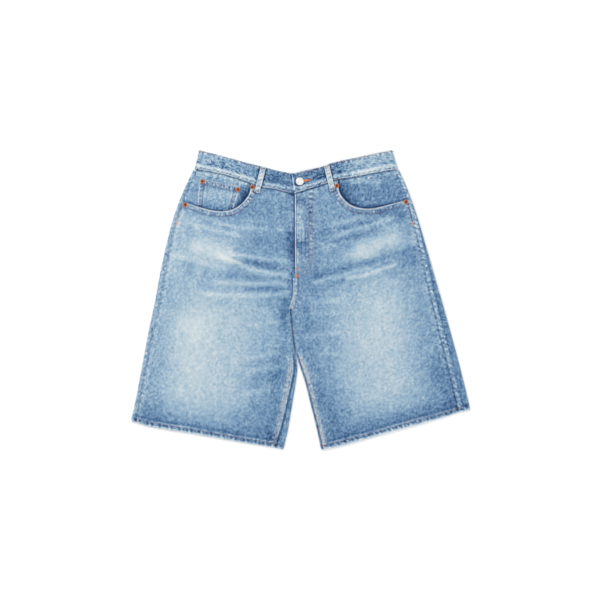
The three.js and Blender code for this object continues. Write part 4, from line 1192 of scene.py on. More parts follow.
def pocket_facing(side, materials):
    share = spaced(MOUTH_LONG, FACING_STEP, (0, MOUTH_LONG), FINE_WIDE, FACING_FINE) / MOUTH_LONG
    y = np.concatenate([np.linspace(OUTER[side]["y"][-1] - 2 * SEAM_GAP, YOKE_SIDE, FACING_ROWS[0])[:-1],
                        np.linspace(YOKE_SIDE, MOUTH_Y[side], FACING_ROWS[1])])
    ends = inside_fold(outer_fold[side](y), np.full_like(y, SEAM_GAP / 2))
    ends[-1, 1] += SEAM_GAP
    down = (y[0] - y) / (y[0] - y[-1])
    start = scoop_at(side, np.array([0.0]), SEAM_GAP / 2)[0]
    x = mix(start[0], ends[0, 0], share)
    top = np.stack([x, band_seam_y(x) - 2 * SEAM_GAP], -1)
    foot = settled_mouth(side, share, SEAM_GAP / 2, ends[-1])
    foot[0, 1] = top[0, 1] - 1
    top[-1] = ends[0]
    drawn = ends - mix(ends[0], ends[-1], down[:, None])
    plan = mix(top[None], foot[None], down[:, None, None]) + drawn[:, None, :] * share[None, :, None] ** 2
    x, y = plan[..., 0], plan[..., 1]
    seams = seams_of(side, plan, "mouth outseam band_seam")
    mouth, mouth_run, _ = seams["mouth"]
    seams["mouth_run"] = (mouth_run, mouth_run, 1.0)
    seams["streak"] = (*Line(FACING_STREAK).near(plan), 1.0)
    uneven = 0.12 * waves(x, y, 60, 20, 12, 9) * smoothstep(2, 10, mouth)
    z = FACING_TOP + uneven + relief(FACING_RELIEF, seams)
    tone = FACING_TONE[side] + 0.05 * waves(x, y, 50, 8, 22, 10) + relief(FACING_SHADE[side], seams)
    pale, dark = wear_and_shade_marks(FACING_WEAR_AND_SHADE, seams)
    pale += relief(FACING_PALE, seams)
    # Painted shade along the band seam and beside the belt loop.
    dark += relief(FACING_DARK, seams) + loop_shade(side, plan)
    points = np.stack([x, y, z], -1)
    values = marks(tone, pale, dark, relief(FACING_CRINKLE, seams) + 0.25)
    return cloth(f"denim_facing_{side}", points, facing(UP, points), CLOTH, plan, values, materials)


coin_mouth_y = through(SCOOP["right"], "x", "y")


def coin_plan(across, down):
    top = mix(COIN_TOP_EDGE[0], COIN_TOP_EDGE[1], across[:, None])
    x = mix(COIN_FOOT_X[0], COIN_FOOT_X[1], across)
    foot = np.stack([x, coin_mouth_y(x) + 2 * SEAM_GAP], -1)
    return mix(top[None], foot[None], down[:, None, None])


def coin_sides():
    """The coin pocket's two upright edges as lines, outer one first."""
    down = np.linspace(0, 1, 12)
    return [Line(coin_plan(np.array([share]), down)[:, 0]) for share in (0.0, 1.0)]


def coin_pocket(materials):
    plan = coin_plan(*(np.linspace(0, 1, count) for count in COIN_GRID))
    x, y = plan[..., 0], plan[..., 1]
    seams = seams_of("right", plan, "mouth")
    top, run = Line(COIN_TOP_EDGE).near(plan)
    side_edge = np.minimum.reduce([line.near(plan)[0] for line in coin_sides()])
    seams.update(top=(top, run, 1.0), side=(side_edge, y, 1.0), edge=(np.minimum(top, side_edge), y, 1.0))
    z = COIN_TOP + 0.1 * waves(x, y, 40, 16, 10, 15) + relief(COIN_RELIEF, seams)
    tone = 0.33 + 0.06 * waves(x, y, 30, 7, 18, 16) + relief(COIN_SHADE, seams)
    points = np.stack([x, y, z], -1)
    values = marks(tone, *wear_and_shade_marks(COIN_WEAR_AND_SHADE, seams), 0.35)
    return cloth("denim_coin_pocket", points, facing(UP, points), COIN_WALL, plan, values, materials)


# Waistband and belt loops.

def band_section(top, foot, z, out, rows):
    """Points across the band from seam to upper edge."""
    xy = mix(foot[:, None, :], top[:, None, :], rows[None, :, None])
    points = np.concatenate([xy, np.broadcast_to(z[:, None, None], xy.shape[:2] + (1,))], -1)
    return points, np.broadcast_to(out[:, None, :], points.shape)


def band_turn(side, angles, rows):
    """The band's fold at a side: a half circle in the plane square to the side edge."""
    top, foot = BAND_SIDES[side]
    rise = (top - foot) / np.linalg.norm(top - foot)
    normal = np.array([rise[1], -rise[0]]) * -SIGN[side]
    radius = BAND_HIGH / 2
    inside = normal[None] * (radius * (1 - np.cos(angles)))[:, None]
    out = np.concatenate([-normal[None] * np.cos(angles)[:, None], np.sin(angles)[:, None]], -1)
    z = HIP_LIFT + radius * (1 + np.sin(angles))
    raised = foot + np.array([0, SEAM_GAP / 2])
    return band_section(top + inside, raised + inside, z, out, rows)


def band_flat(top_x, foot_x, z, out, rows):
    top = np.stack([top_x, band_top_y(top_x)], -1)
    foot = np.stack([foot_x, band_seam_y(foot_x) + SEAM_GAP / 2], -1)
    return band_section(top, foot, z, np.broadcast_to(out, (len(top_x), 3)), rows)


BAND_WIDE = 42.0
BAND_TURNS = 10
BAND_LOWER_LONG = 240
BAND_UPPER_LONG = 216
BAND_UNDER_COLUMNS = 130
NEAR_MIDDLE = (("away", -1, 60, 90),)
BAND_RELIEF = (
    (0.28, "low", (1.0, 7.5, 1.2), ALL, (6.0, 0.9, 41)), (0.45, "low", (9.5, 3.6), ALL),
    (-0.35, "low", (15.5, 2.6), ALL), (-0.75, "edge", (0, 1.1), ALL),
)
BAND_SHADE = (
    (-0.27, "away", (-1, 60, 70), ALL), (0.5, "low", (9.5, 4.0), ALL), (-0.2, "low", (16.5, 3.5), ALL),
    (-0.1, "low", (31, 7), NEAR_MIDDLE), (0.12, "away", (150, 400, 90), (("x", 0.01, 400, 0.01),)),
)
BAND_WEAR = (
    (0.5, 0.75, "low", (1.0, 7.5, 1.2), ALL, (6.0, 0.9, 41)), (0.5, 0, "high", (0.5, 1.3), ALL),
    (0.35, 0.3, "high", (1.5, 7.0, 1.2), ALL, (8, 0, 45)), (0, 0.3, "low", (0.2, 1.0), ALL),
)


def band_detail(points, out, rows):
    """Relief and wear of the band: rolled edges, a ridge and roping over its seam, creases along it; painted
    shadow beside the front loops and round the button.
    """
    x, y = points[..., 0], points[..., 1]
    low = rows[None] * BAND_WIDE + 0 * x
    high = BAND_WIDE - low
    run = run_along(points[:, 0, :])[:, None] + 0 * low
    distances = {"low": low, "high": high, "edge": np.minimum(low, high), "x": x, "away": np.abs(x)}
    seams = {name: (distance, run, 1.0) for name, distance in distances.items()}
    creases = waves(run * 0.6 - low * 0.8, low * 2.2, 60, 12, 16, 42)
    rise = relief(BAND_RELIEF, seams) + 0.4 * creases * window(low, 14, 38, 4)
    tone = 0.3 + 0.1 * waves(run * 0.55, low * 2.2, 60, 10, 26, 43) + relief(BAND_SHADE, seams)
    pale, dark = wear_and_shade_marks(BAND_WEAR, seams)
    front = out[..., 2] > 0.5
    # Painted shadow on the band beside the front loops, and a small dip in its face there.
    for side in SIGN:
        near = loop_distance(side, points[..., :2])
        dark += 0.95 * bell(near - 1.0, 1.9) * front
        rise -= 0.35 * bell(near - 1.5, 2.5) * front
    # Painted shadow: a dark ring on the band round the button.
    button = np.hypot(x - BUTTON_XY[0], y - BUTTON_XY[1])
    dark += 0.45 * bell(button - 9.4, 1.6) * front
    crinkle = 1.3 * window(low, 3, 40, 3)
    values = {"tone": tone, "pale": pale, "dark": np.clip(dark, 0, MOST_DARK), "crinkle": crinkle}
    return points + out * rise[..., None], np.stack([run, low], -1), values


def waistband(sizes, materials):
    rows = spaced(BAND_WIDE, 2.2, (0, BAND_WIDE), 4, 0.9) / BAND_WIDE
    turn = np.pi * (0.5 - np.arange(BAND_TURNS + 1) / BAND_TURNS)
    right, right_out = band_turn("right", turn, rows)
    left, left_out = band_turn("left", -turn, rows)
    step = sizes.grid_step
    lower = np.linspace(0, 1, int(BAND_LOWER_LONG / step))[:-1]
    top_x = mix(BAND_UNDERLAP, right[0, -1, 0], lower)
    foot_x = mix(BAND_UNDERLAP, right[0, 0, 0], lower)
    first, first_out = band_flat(top_x, foot_x, np.full(len(lower), BAND_TOP_Z), UP, rows)
    under = np.linspace(0, 1, BAND_UNDER_COLUMNS)[1:-1]
    top_x = mix(right[-1, -1, 0], left[0, -1, 0], under)
    foot_x = mix(right[-1, 0, 0], left[0, 0, 0], under)
    back, back_out = band_flat(top_x, foot_x, np.full(len(under), HIP_LIFT), -UP, rows)
    even = np.linspace(0, 0.97, int(BAND_UPPER_LONG / step))[1:]
    upper = np.concatenate([even, 1 - spaced(7, 1.2)[::-1][1:] / BAND_UPPER_LONG])
    top_x = mix(left[-1, -1, 0], BAND_END[0, 0], upper)
    foot_x = mix(left[-1, 0, 0], BAND_END[1, 0], upper)
    corner = 4.5 * bell((1 - upper) * BAND_UPPER_LONG, 3.0)
    last, last_out = band_flat(top_x, foot_x, BAND_TOP_Z + band_rise((top_x + foot_x) / 2), UP, rows)
    last[..., 0] += corner[:, None] * rows[None] ** 7 * 0.8
    last[..., 1] -= corner[:, None] * rows[None] ** 7 * 0.3
    points = np.concatenate([first, right, back, left, last])
    out = np.concatenate([first_out, right_out, back_out, left_out, last_out])
    points, uv, values = band_detail(points, out, rows)
    end = np.full(len(points), 100.0)
    end[-len(upper):] = (1 - upper) * BAND_UPPER_LONG
    values["pale"] = np.clip(values["pale"] + 1.1 * bell(end - 1.2, 2.2)[:, None], 0, 1.3)
    values["dark"] = values["dark"] + 0.3 * bell(end - 4.2, 1.3)[:, None]
    return cloth("denim_waistband", points, out, BAND_WALL, uv, values, materials, 60)


def strip_grid(line, under, wide, wall):
    """A strip over a line of plan points: its face has rounded edges, its height above the line's
    underside is the wall."""
    first, last = line[0], line[-1]
    square = left_of(unit(last - first))
    across = np.array([-1, -0.93, -0.8, -0.55, -0.3, 0, 0.3, 0.55, 0.8, 0.93, 1])
    xy = line[:, None, :] + square * (across * wide / 2)[None, :, None]
    crown = wall * (1 - 0.35 * np.abs(across) ** 6)
    z = under[:, None] + crown[None]
    return np.concatenate([xy, z[..., None]], -1), across, crown


LOOP_PROFILE = columns("share under", [
    (0, BAND_TOP_Z + 0.3), (0.06, BAND_TOP_Z + 0.75), (0.14, BAND_TOP_Z + 1.1), (0.4, BAND_TOP_Z + 1.3),
    (0.66, BAND_TOP_Z + 1.3), (0.82, BAND_TOP_Z + 0.8), (0.92, 8.0), (1, 7.7),
])


def loop_line(side):
    share = np.linspace(0, 1, FRONT_LOOP_ROWS)
    top, foot = FRONT_LOOPS[side]
    return mix(top, foot, share[:, None]), through(LOOP_PROFILE, "share", "under")(share)


def belt_loop(name, line, under, wall, down, materials):
    points, across, crown = strip_grid(line, under, LOOP_WIDE, wall)
    share = np.linspace(0, 1, len(line))[:, None]
    normal = facing(UP, points)
    ends = np.minimum(share, 1 - share) * 53
    rungs = rope(share * 53 + 3 * across[None], 7, 52) * bell(across, 0.55)[None]
    tone = 0.58 + 0.12 * waves(points[..., 0], points[..., 1], 24, 5, 16, 51) + 0.16 * bell(across, 0.5)[None]
    pale = 0.6 * bell(np.abs(across)[None] - 0.95, 0.12) + 0.5 * positive(rungs)
    dark = 0.5 * bell(np.abs(across)[None] - 0.62, 0.1) + 0.4 * bell(ends - 6, 1.6) + 0.6 * positive(-rungs)
    values = {"tone": tone, "pale": pale, "dark": dark, "crinkle": 0.8}
    if down:
        points = points.copy()
        points[..., 2] = under[:, None] + (wall - crown)[None]
        normal = -normal
    return cloth(name, points, normal, crown[None], points[..., :2], values, materials)


# Sewing: stitches as one joined mesh for each thread.

def stitch_template(sides=6):
    """A stitch along X: an ellipsoid-like bead that sinks at both ends, as points and quads."""
    x = np.array([-0.5, -0.42, -0.22, 0.22, 0.42, 0.5])
    radius = np.array([0.25, 0.72, 1.0, 1.0, 0.72, 0.25])
    sink = np.array([-1.0, -0.35, 0.0, 0.0, -0.35, -1.0])
    turn = np.arange(sides) * 2 * np.pi / sides
    points = np.stack([
        np.repeat(x, sides),
        (radius[:, None] * np.cos(turn)).ravel(),
        (radius[:, None] * np.sin(turn) * 0.8 + sink[:, None] * 0.6).ravel(),
    ], -1)
    rings = np.arange(len(x) * sides).reshape(len(x), sides)
    a, b = rings[:-1], rings[1:]
    quads = np.stack([a, np.roll(a, -1, 1), np.roll(b, -1, 1), b], -1).reshape(-1, 4)
    caps = [list(rings[0][::-1]), list(rings[-1])]
    return points, quads, caps


def stitches(name, places, along, up, length, thick, material):
    """One mesh of stitches: each is the template stretched to its length, turned to its direction."""
    template, quads, caps = stitch_template()
    along = along / np.linalg.norm(along, axis=1)[:, None]
    side = np.cross(up, along)
    side /= np.linalg.norm(side, axis=1)[:, None]
    normal = np.cross(along, side)
    long = np.broadcast_to(length, len(places))[:, None, None]
    points = (places[:, None, :] + along[:, None, :] * template[None, :, :1] * long
              + side[:, None, :] * template[None, :, 1:2] * thick
              + normal[:, None, :] * template[None, :, 2:3] * thick)
    offset = (np.arange(len(places)) * len(template))[:, None, None]
    faces = (quads[None] + offset).reshape(-1, 4).tolist()
    for cap in caps:
        faces += (np.array(cap)[None] + offset[:, 0]).tolist()
    return smooth_piece(name, metres(points.reshape(-1, 3)), faces, [material])


STITCH_PROBE = 0.9
STITCH_SINK = 0.12


def along_line(line, height, pitch, sink=STITCH_SINK):
    """Places and directions of stitches a pitch apart on a plan line, at the cloth's height."""
    length = line.run[-1]
    count = max(1, int(length / pitch))
    run = (np.arange(count) + 0.5) * length / count
    at = [between(run + step, line.run, line.points[:, :2]) for step in (-STITCH_PROBE, 0, STITCH_PROBE)]
    z = [height(xy[:, 0], xy[:, 1]) - sink for xy in at]
    ahead = np.concatenate([at[2] - at[0], (z[2] - z[0])[:, None]], -1)
    return np.concatenate([at[1], z[1][:, None]], -1), ahead


class Thread:
    """Collects the stitches of one thread before they are joined."""

    def __init__(self, length, thick):
        self.length = length
        self.thick = thick
        self.places = []
        self.along = []
        self.up = []
        self.lengths = []

    def sew(self, line, height, pitch, up=UP, sink=STITCH_SINK):
        places, along = along_line(line, height, pitch, sink)
        self.add(places, along, up, self.length)

    def add(self, places, along, up, length):
        self.places.append(places)
        self.along.append(along)
        self.up.append(np.broadcast_to(up, places.shape))
        self.lengths.append(np.full(len(places), length))

    def tack(self, start, end, height, wide, up=UP, pitch=0.55):
        """Bar tack: close stitches across the line from start to end."""
        start, end = np.array(start, dtype=float), np.array(end, dtype=float)
        long = np.linalg.norm(end - start)
        count = max(2, int(long / pitch))
        share = (np.arange(count) + 0.5) / count
        xy = mix(start, end, share[:, None])
        direction = (end - start) / long
        square = left_of(direction)
        lean = direction * 0.12 * (-1) ** np.arange(count)[:, None]
        z = height(xy[:, 0], xy[:, 1])
        places = np.concatenate([xy, z[:, None]], -1)
        along = np.concatenate([square[None] + lean, np.zeros((count, 1))], -1)
        self.add(places, along, up, wide)

    def join(self, name, material):
        places, along, up = (np.concatenate(part) for part in (self.places, self.along, self.up))
        return stitches(name, places, along, up, np.concatenate(self.lengths), self.thick, material)


def level(z):
    return lambda x, y: np.full(np.shape(x), z, dtype=float)


def front_level(side):
    return lambda x, y: front_height(side, np.asarray(x, dtype=float), np.asarray(y, dtype=float))


def fly_line(wide, foot, top=227.0):
    """The fly's stitch line: down beside the edge, then a quarter ellipse in to the centre seam."""
    turn_high = foot + 36.0
    straight_y = np.linspace(top, turn_high, 30)
    edge = float(centre_x(130.0))
    angle = np.linspace(0, np.pi / 2, 40)
    curve = np.stack([edge + wide * np.cos(angle), turn_high - 36.0 * np.sin(angle)], -1)
    straight = np.stack([np.full_like(straight_y, edge + wide), straight_y], -1)
    return Line(np.concatenate([straight[:-1], curve]))


def band_line(away_from_seam, start_x, end_x):
    """A line along the front of the band, at a distance above its seam, between two places."""
    x = np.linspace(start_x, end_x, 120)
    low, high = band_seam_y(x), band_top_y(x)
    return Line(np.stack([x, low + away_from_seam * (high - low) / BAND_WIDE], -1))


def band_front_z(x, y):
    return BAND_TOP_Z + np.where(np.asarray(x) > BAND_END[1, 0] - 8, band_rise(x), 0.0)


# Rows of the sewing: thread, seam, distance inside it, the stretch between two lengths run, and the pitch.
FRONT_ROWS = (
    ("cream", "mouth", 2.3, 6, -7, 2.9), ("rust", "mouth", 10.2, 4, -7, 2.9),
    ("rust", "hem", -9.4, 4, -9, 3.1), ("rust", "outseam", 3.0, 69, 115, 2.9),
)
INNER_ROWS = {"right": (6.8, 12.2), "left": (1.0, 6.6)}
INNER_STRETCH = (104, -2)
INNER_PITCH = 3.0
PITCH = 2.9
FLY_ROWS = ((29.6, 56.5), (36.4, 49.5))
RISE_STRETCH = (176, -2)
BAND_ROWS = (("cream", 2.6), ("rust", 39.4))
BAND_STRETCHES = ((-214, -23), (-10, 199))
COIN_TOP_ROWS = ((2.4, 7), (9.6, 3))
COIN_SIDE_ROWS = (("cream", 2.2), ("rust", 9.4))


def sew_front(threads):
    """Rows of the front: pocket mouths, fly, rise seam, hems, side topstitching, inner seams."""
    rust, cream = threads["rust"], threads["cream"]
    for side, sign in SIGN.items():
        inner = tuple(("rust", "inseam", -away, *INNER_STRETCH, INNER_PITCH) for away in INNER_ROWS[side])
        for thread, seam, away, start, end, pitch in FRONT_ROWS + inner:
            row = LINES[f"{seam}_{side}"].shifted(-sign * away).part(start, end)
            threads[thread].sew(row, front_level(side), pitch)
    left = front_level("left")
    for wide, foot in FLY_ROWS:
        rust.sew(fly_line(wide, foot), left, PITCH)
    cream.sew(LINES["centre"].shifted(2.0).part(0, 172), left, PITCH)
    rise = LINES["centre"].part(*RISE_STRETCH)
    rust.sew(rise.shifted(4.4), left, PITCH)
    cream.sew(rise.shifted(-3.6), front_level("right"), PITCH)


def sew_band(threads):
    for thread, away in BAND_ROWS:
        for start, end in BAND_STRETCHES:
            threads[thread].sew(band_line(away, start, end), band_front_z, PITCH)


def sew_coin(threads):
    height = level(COIN_TOP)
    for away, inset in COIN_TOP_ROWS:
        threads["rust"].sew(Line(COIN_TOP_EDGE).shifted(-away).part(inset, -inset), height, PITCH)
    for line, sign in zip(coin_sides(), (1, -1)):
        for thread, away in COIN_SIDE_ROWS:
            threads[thread].sew(line.shifted(sign * away).part(8, -1), height, PITCH)


LOOP_ROWS = (3.6, -3.6)
LOOP_PITCH = 2.8


def sew_loops(threads):
    for side in SIGN:
        line, under = loop_line(side)
        run = np.linalg.norm(line - line[0], axis=1)

        def height(x, y, line=line, under=under, run=run):
            place = (np.stack([x, y], -1) - line[0]) @ unit(line[-1] - line[0])
            return np.interp(place, run, under) + 1.55

        centre = Line(line)
        for away in LOOP_ROWS:
            threads["cream"].sew(centre.shifted(away).part(5, -5), height, LOOP_PITCH)
        along = unit(line[-1] - line[0])
        square = left_of(along)
        for place in (2.6, run[-1] - 2.6):
            middle = line[0] + along * place
            threads["rust"].tack(middle - square * 4.6, middle + square * 4.6, height, 1.8)


SIDE_TACK = (112.0, 120.0)


def sew_tacks(orange):
    left = front_level("left")
    fly = float(centre_x(60.0))
    orange.tack((fly + 1.0, 66.5), (fly + 9.0, 66.5), left, 2.2)
    orange.tack((fly + 1.0, 51.5), (fly + 7.5, 51.5), left, 2.6)
    orange.tack((fly + 1.6, 46.0), (fly + 1.6, 55.0), left, 2.0)
    for side, sign in SIGN.items():
        out = LINES[f"outseam_{side}"].shifted(-sign * 3.0)
        start, end = between(np.array(SIDE_TACK), out.run, out.points)
        orange.tack(start, end, front_level(side), 2.0)


UNDER_PITCH = 3.2
UNDER_ROWS = (2.5, 9.0)
UNDER_HEM = 9.4
POCKET_MOUTH_ROWS = (3.0, 16.0)
POCKET_MOUTH_HALF = 70
SEAT_STITCH = HIP_LIFT + 0.1
UNDER_STITCH = 0.64
UNDER_BAND_STITCH = HIP_LIFT + 0.35


def pocket_row(x, inset):
    """A row inside the edge of a back pocket: down one side, along its pointed foot and up the other."""
    wide, foot = BACK_POCKET["wide"] / 2 - inset, BACK_POCKET["foot_wide"] / 2 - inset
    top = BACK_POCKET["mouth"] - 3
    low = BACK_POCKET["mouth"] - BACK_POCKET["deep"] + inset
    side = low + BACK_POCKET["point"]
    return Line([(x - wide, top), (x - foot, side), (x, low), (x + foot, side), (x + wide, top)])


def sew_under(thread):
    """Rows of the underside: yokes, centre seam, hems, back pockets, waistband."""

    def sew(line, z):
        thread.sew(line, level(z), UNDER_PITCH, -UP)

    for side, sign in SIGN.items():
        start = np.array([float(centre_x(YOKE_CENTRE)), YOKE_CENTRE])
        yoke = Line(np.stack([start, outer_fold[side](np.array([YOKE_SIDE]))[0][0]]))
        for away in UNDER_ROWS:
            sew(yoke.shifted(sign * away).part(8, -8), SEAT_STITCH)
        sew(LINES[f"hem_{side}"].shifted(sign * UNDER_HEM).part(6, -6), UNDER_STITCH)
        x = BACK_POCKET_X[side]
        for inset in UNDER_ROWS:
            sew(pocket_row(x, inset), UNDER_STITCH)
        for away in POCKET_MOUTH_ROWS:
            y = BACK_POCKET["mouth"] - away
            sew(Line([(x - POCKET_MOUTH_HALF, y), (x + POCKET_MOUTH_HALF, y)]), UNDER_STITCH)
    y = heights(-10, 152)
    for away in UNDER_ROWS:
        sew(Line(np.stack([centre_x(y) + away, y], -1)), SEAT_STITCH)
    for _, away in BAND_ROWS:
        sew(band_line(away, -210, 194), UNDER_BAND_STITCH)


def buttonhole(orange):
    """Close stitches round a keyhole: a slot that widens to a round eye at its inner end."""
    z = level(BAND_TOP_Z + BAND_WALL + SEAM_GAP + 0.1)
    x, y = BUTTON_XY
    start, end = np.array([x + 8.6, y + 1.0]), np.array([x + 21.0, y + 3.4])
    square = left_of(unit(end - start))
    for sign in (-1, 1):
        orange.tack(start + square * sign * 1.5, end + square * sign * 0.9, z, 2.0)
    orange.tack(end - square * 1.8, end + square * 1.8, z, 2.4)


# Metal.

METAL_CRISP = 40
RIVET_SEGMENTS = 36
RIVET_DARK = 2.5
BUTTON_SEGMENTS = 64


def turned(name, profile, segments, places, materials, dark_ring=0.0):
    """Surfaces of revolution about +Z at each place: radius and height rows joined round the axis."""
    profile = np.array(profile, dtype=float)
    angle = np.arange(segments) * 2 * np.pi / segments
    ring = np.stack([
        profile[1:-1, 0, None] * np.cos(angle),
        profile[1:-1, 0, None] * np.sin(angle),
        np.broadcast_to(profile[1:-1, 1, None], (len(profile) - 2, segments)),
    ], -1).reshape(-1, 3)
    base = np.concatenate([ring, [[0, 0, profile[0, 1]], [0, 0, profile[-1, 1]]]])
    index = np.arange(len(ring)).reshape(-1, segments)
    a, b = index[:-1], index[1:]
    quads = np.stack([a, np.roll(a, -1, 1), np.roll(b, -1, 1), b], -1).reshape(-1, 4)
    first = np.stack([np.full(segments, len(ring)), np.roll(index[0], -1), index[0]], -1)
    last = np.stack([np.full(segments, len(ring) + 1), index[-1], np.roll(index[-1], -1)], -1)
    points, faces = [], []
    for k, place in enumerate(places):
        points.append(base + np.asarray(place))
        offset = k * len(base)
        faces += (quads + offset).tolist() + (first + offset).tolist() + (last + offset).tolist()
    piece = smooth_piece(name, metres(np.concatenate(points)), faces, materials, METAL_CRISP)
    mesh = piece.data
    if dark_ring:
        centres = np.empty(len(mesh.polygons) * 3, dtype=np.float32)
        mesh.polygons.foreach_get("center", centres)
        away = centres.reshape(-1, 3)[:, :2] - metres(places[0])[:2]
        inner = np.hypot(away[:, 0], away[:, 1]) < dark_ring * MM
        mesh.polygons.foreach_set("material_index", inner.astype(np.int32))
    mesh.update()
    return piece


RIVET_PROFILE = [
    (0, 0), (4.75, 0), (4.8, 0.3), (4.7, 0.62), (4.3, 0.9), (3.7, 1.05), (3.1, 0.98), (2.6, 0.72), (2.1, 0.6),
    (1.75, 0.62), (1.5, 0.85), (1.3, 1.25), (0.95, 1.42), (0.5, 1.47), (0, 1.48),
]
BUTTON_PROFILE = [
    (0, 0), (4.4, 0), (4.6, 1.0), (7.6, 1.35), (8.3, 1.9), (8.4, 2.4), (8.2, 2.95), (7.7, 3.35), (7.1, 3.5),
    (6.6, 3.4), (6.3, 3.1), (6.1, 2.85), (5.7, 2.8), (4.2, 2.95), (3.6, 3.1), (3.2, 3.05), (2.0, 2.95),
    (0, 3.0),
]


# Materials.

NODE_COLUMNS = 8
NODE_STEP = 200


def node(tree, kind, inputs=None, **settings):
    """A node on the next place of a grid, its inputs set to values or joined to sockets."""
    count = len(tree.nodes)
    made = tree.nodes.new(kind)
    made.location = (count % NODE_COLUMNS * NODE_STEP, -(count // NODE_COLUMNS) * NODE_STEP)
    for key, value in settings.items():
        setattr(made, key, value)
    for key, value in (inputs or {}).items():
        if isinstance(value, bpy.types.NodeSocket):
            tree.links.new(value, made.inputs[key])
        else:
            made.inputs[key].default_value = value
    return made


# Noise of the weave: scale, stretch along and across, detail, turn in degrees, and its weight in the tone.
GRAIN = {
    "slub": (470, (2.2, 1, 1), 0.5, 48, 0.25), "warp": (400, (1, 6, 1), 2.0, 0, 0.12),
    "cloud": (60, (1, 1, 1), 4.0, 0, 0.06),
}
CREASES = (120, (2.2, 0.8, 1), 3.0, 14)
TWILL = {"Scale": 92.0, "Distortion": 1.2, "Detail": 1.0, "Detail Scale": 1.6}
TWILL_TURN = np.radians(45)
TWILL_WEIGHT = 0.24
CELL_SCALE = 570.0
CELL_WEIGHT = 1.12
CREASE_HALF = 0.085
CREASE_WEIGHT = 2.4
FADING = (0.95, 0.5)
PALE_WEIGHT = 0.62
DARK_WEIGHT = 0.6
# Tones between which the denim turns from each colour to the next. Below tone 0 it turns towards the darkest
# colour, which stands for dark indigo and for painted shade in the seams.
TONE_STOPS = {"Deep": (-0.5, 0.0), "Blue": (0.0, 0.34), "Washed": (0.34, 0.66), "Bleached": (0.66, 1.0)}


def denim_group():
    """Tone, pale and dark marks to a denim colour and height: twill lines, slubs and speckle."""
    name = "washed_denim"
    if name in bpy.data.node_groups:
        return bpy.data.node_groups[name]
    tree = bpy.data.node_groups.new(name, "ShaderNodeTree")
    sockets = [("INPUT", label, "Color") for label in ("Ink", *TONE_STOPS)] + [
        ("INPUT", "Speckle", "Float"), ("OUTPUT", "Color", "Color"), ("OUTPUT", "Height", "Float"),
        ("OUTPUT", "Roughness", "Float"),
    ]
    for way, label, kind in sockets:
        tree.interface.new_socket(name=label, in_out=way, socket_type=f"NodeSocket{kind}")
    given = node(tree, "NodeGroupInput").outputs
    uv = node(tree, "ShaderNodeUVMap", uv_map="cloth").outputs[0]

    def maths(operation, a, b, clamp=False):
        return node(tree, "ShaderNodeMath", {0: a, 1: b}, operation=operation, use_clamp=clamp).outputs[0]

    def plus(a, b):
        return maths("ADD", a, b)

    def less(a, b, clamp=False):
        return maths("SUBTRACT", a, b, clamp)

    def times(a, b):
        return maths("MULTIPLY", a, b)

    def noise(scale, stretch, detail, turn):
        placing = {0: uv, "Scale": stretch, "Rotation": (0, 0, np.radians(turn))}
        mapping = node(tree, "ShaderNodeMapping", placing, vector_type="TEXTURE")
        return node(tree, "ShaderNodeTexNoise", {
            "Vector": mapping.outputs[0], "Scale": scale, "Detail": detail, "Roughness": 0.6,
        }).outputs["Fac"]

    def attribute(label):
        return node(tree, "ShaderNodeAttribute", attribute_name=label).outputs["Fac"]

    turned_uv = node(tree, "ShaderNodeMapping", {0: uv, "Rotation": (0, 0, TWILL_TURN)}).outputs[0]
    twill = node(tree, "ShaderNodeTexWave", {"Vector": turned_uv, **TWILL}, wave_type="BANDS",
                 bands_direction="X").outputs["Fac"]
    speckle = node(tree, "ShaderNodeTexVoronoi", {"Vector": uv, "Scale": CELL_SCALE}).outputs["Color"]
    grain = {label: (noise(*row[:4]), row[4]) for label, row in GRAIN.items()}
    grain["twill"] = (twill, TWILL_WEIGHT)
    total = times(less(speckle, 0.5), CELL_WEIGHT)
    for texture, weight in grain.values():
        total = plus(total, times(less(texture, 0.5), weight))
    ridged = less(CREASE_HALF, maths("ABSOLUTE", less(noise(*CREASES), 0.5), 0))
    ridged = times(times(ridged, CREASE_WEIGHT), attribute("crinkle"))
    tone = attribute("tone")
    fading = less(FADING[0], times(tone, FADING[1]), True)
    total = plus(times(times(total, given["Speckle"]), fading), ridged)
    rough_pale = times(attribute("pale"), plus(0.55, times(speckle, 0.9)))
    value = plus(plus(tone, total), times(rough_pale, PALE_WEIGHT))
    value = less(value, times(attribute("dark"), DARK_WEIGHT))
    colour = given["Ink"]
    for label, (low, high) in TONE_STOPS.items():
        span = {"From Min": low, "From Max": high, "Value": value}
        share = node(tree, "ShaderNodeMapRange", span, clamp=True)
        blend = {"Factor": share.outputs[0], 6: colour, 7: given[label]}
        colour = node(tree, "ShaderNodeMix", blend, data_type="RGBA").outputs[2]
    height = plus(times(twill, 0.5), times(speckle, 0.9))
    height = plus(height, times(grain["slub"][0], 0.5))
    height = plus(height, times(ridged, 2.5))
    rough = plus(0.86, times(speckle, 0.14))
    node(tree, "NodeGroupOutput", {"Color": colour, "Height": height, "Roughness": rough})
    return tree


def new_material(name, settings):
    material = bpy.data.materials.new(name)
    material.use_nodes = True
    tree = material.node_tree
    tree.nodes.clear()
    shader = node(tree, "ShaderNodeBsdfPrincipled", settings)
    node(tree, "ShaderNodeOutputMaterial", {0: shader.outputs[0]})
    return material, tree, shader


def once(build):
    """Gives the material of a name again if it is there already."""

    def found(name, *values):
        return bpy.data.materials.get(name) or build(name, *values)

    return found


def bumped(tree, shader, height, strength, distance):
    bump = node(tree, "ShaderNodeBump", {"Strength": strength, "Distance": distance, "Height": height})
    tree.links.new(bump.outputs[0], shader.inputs["Normal"])


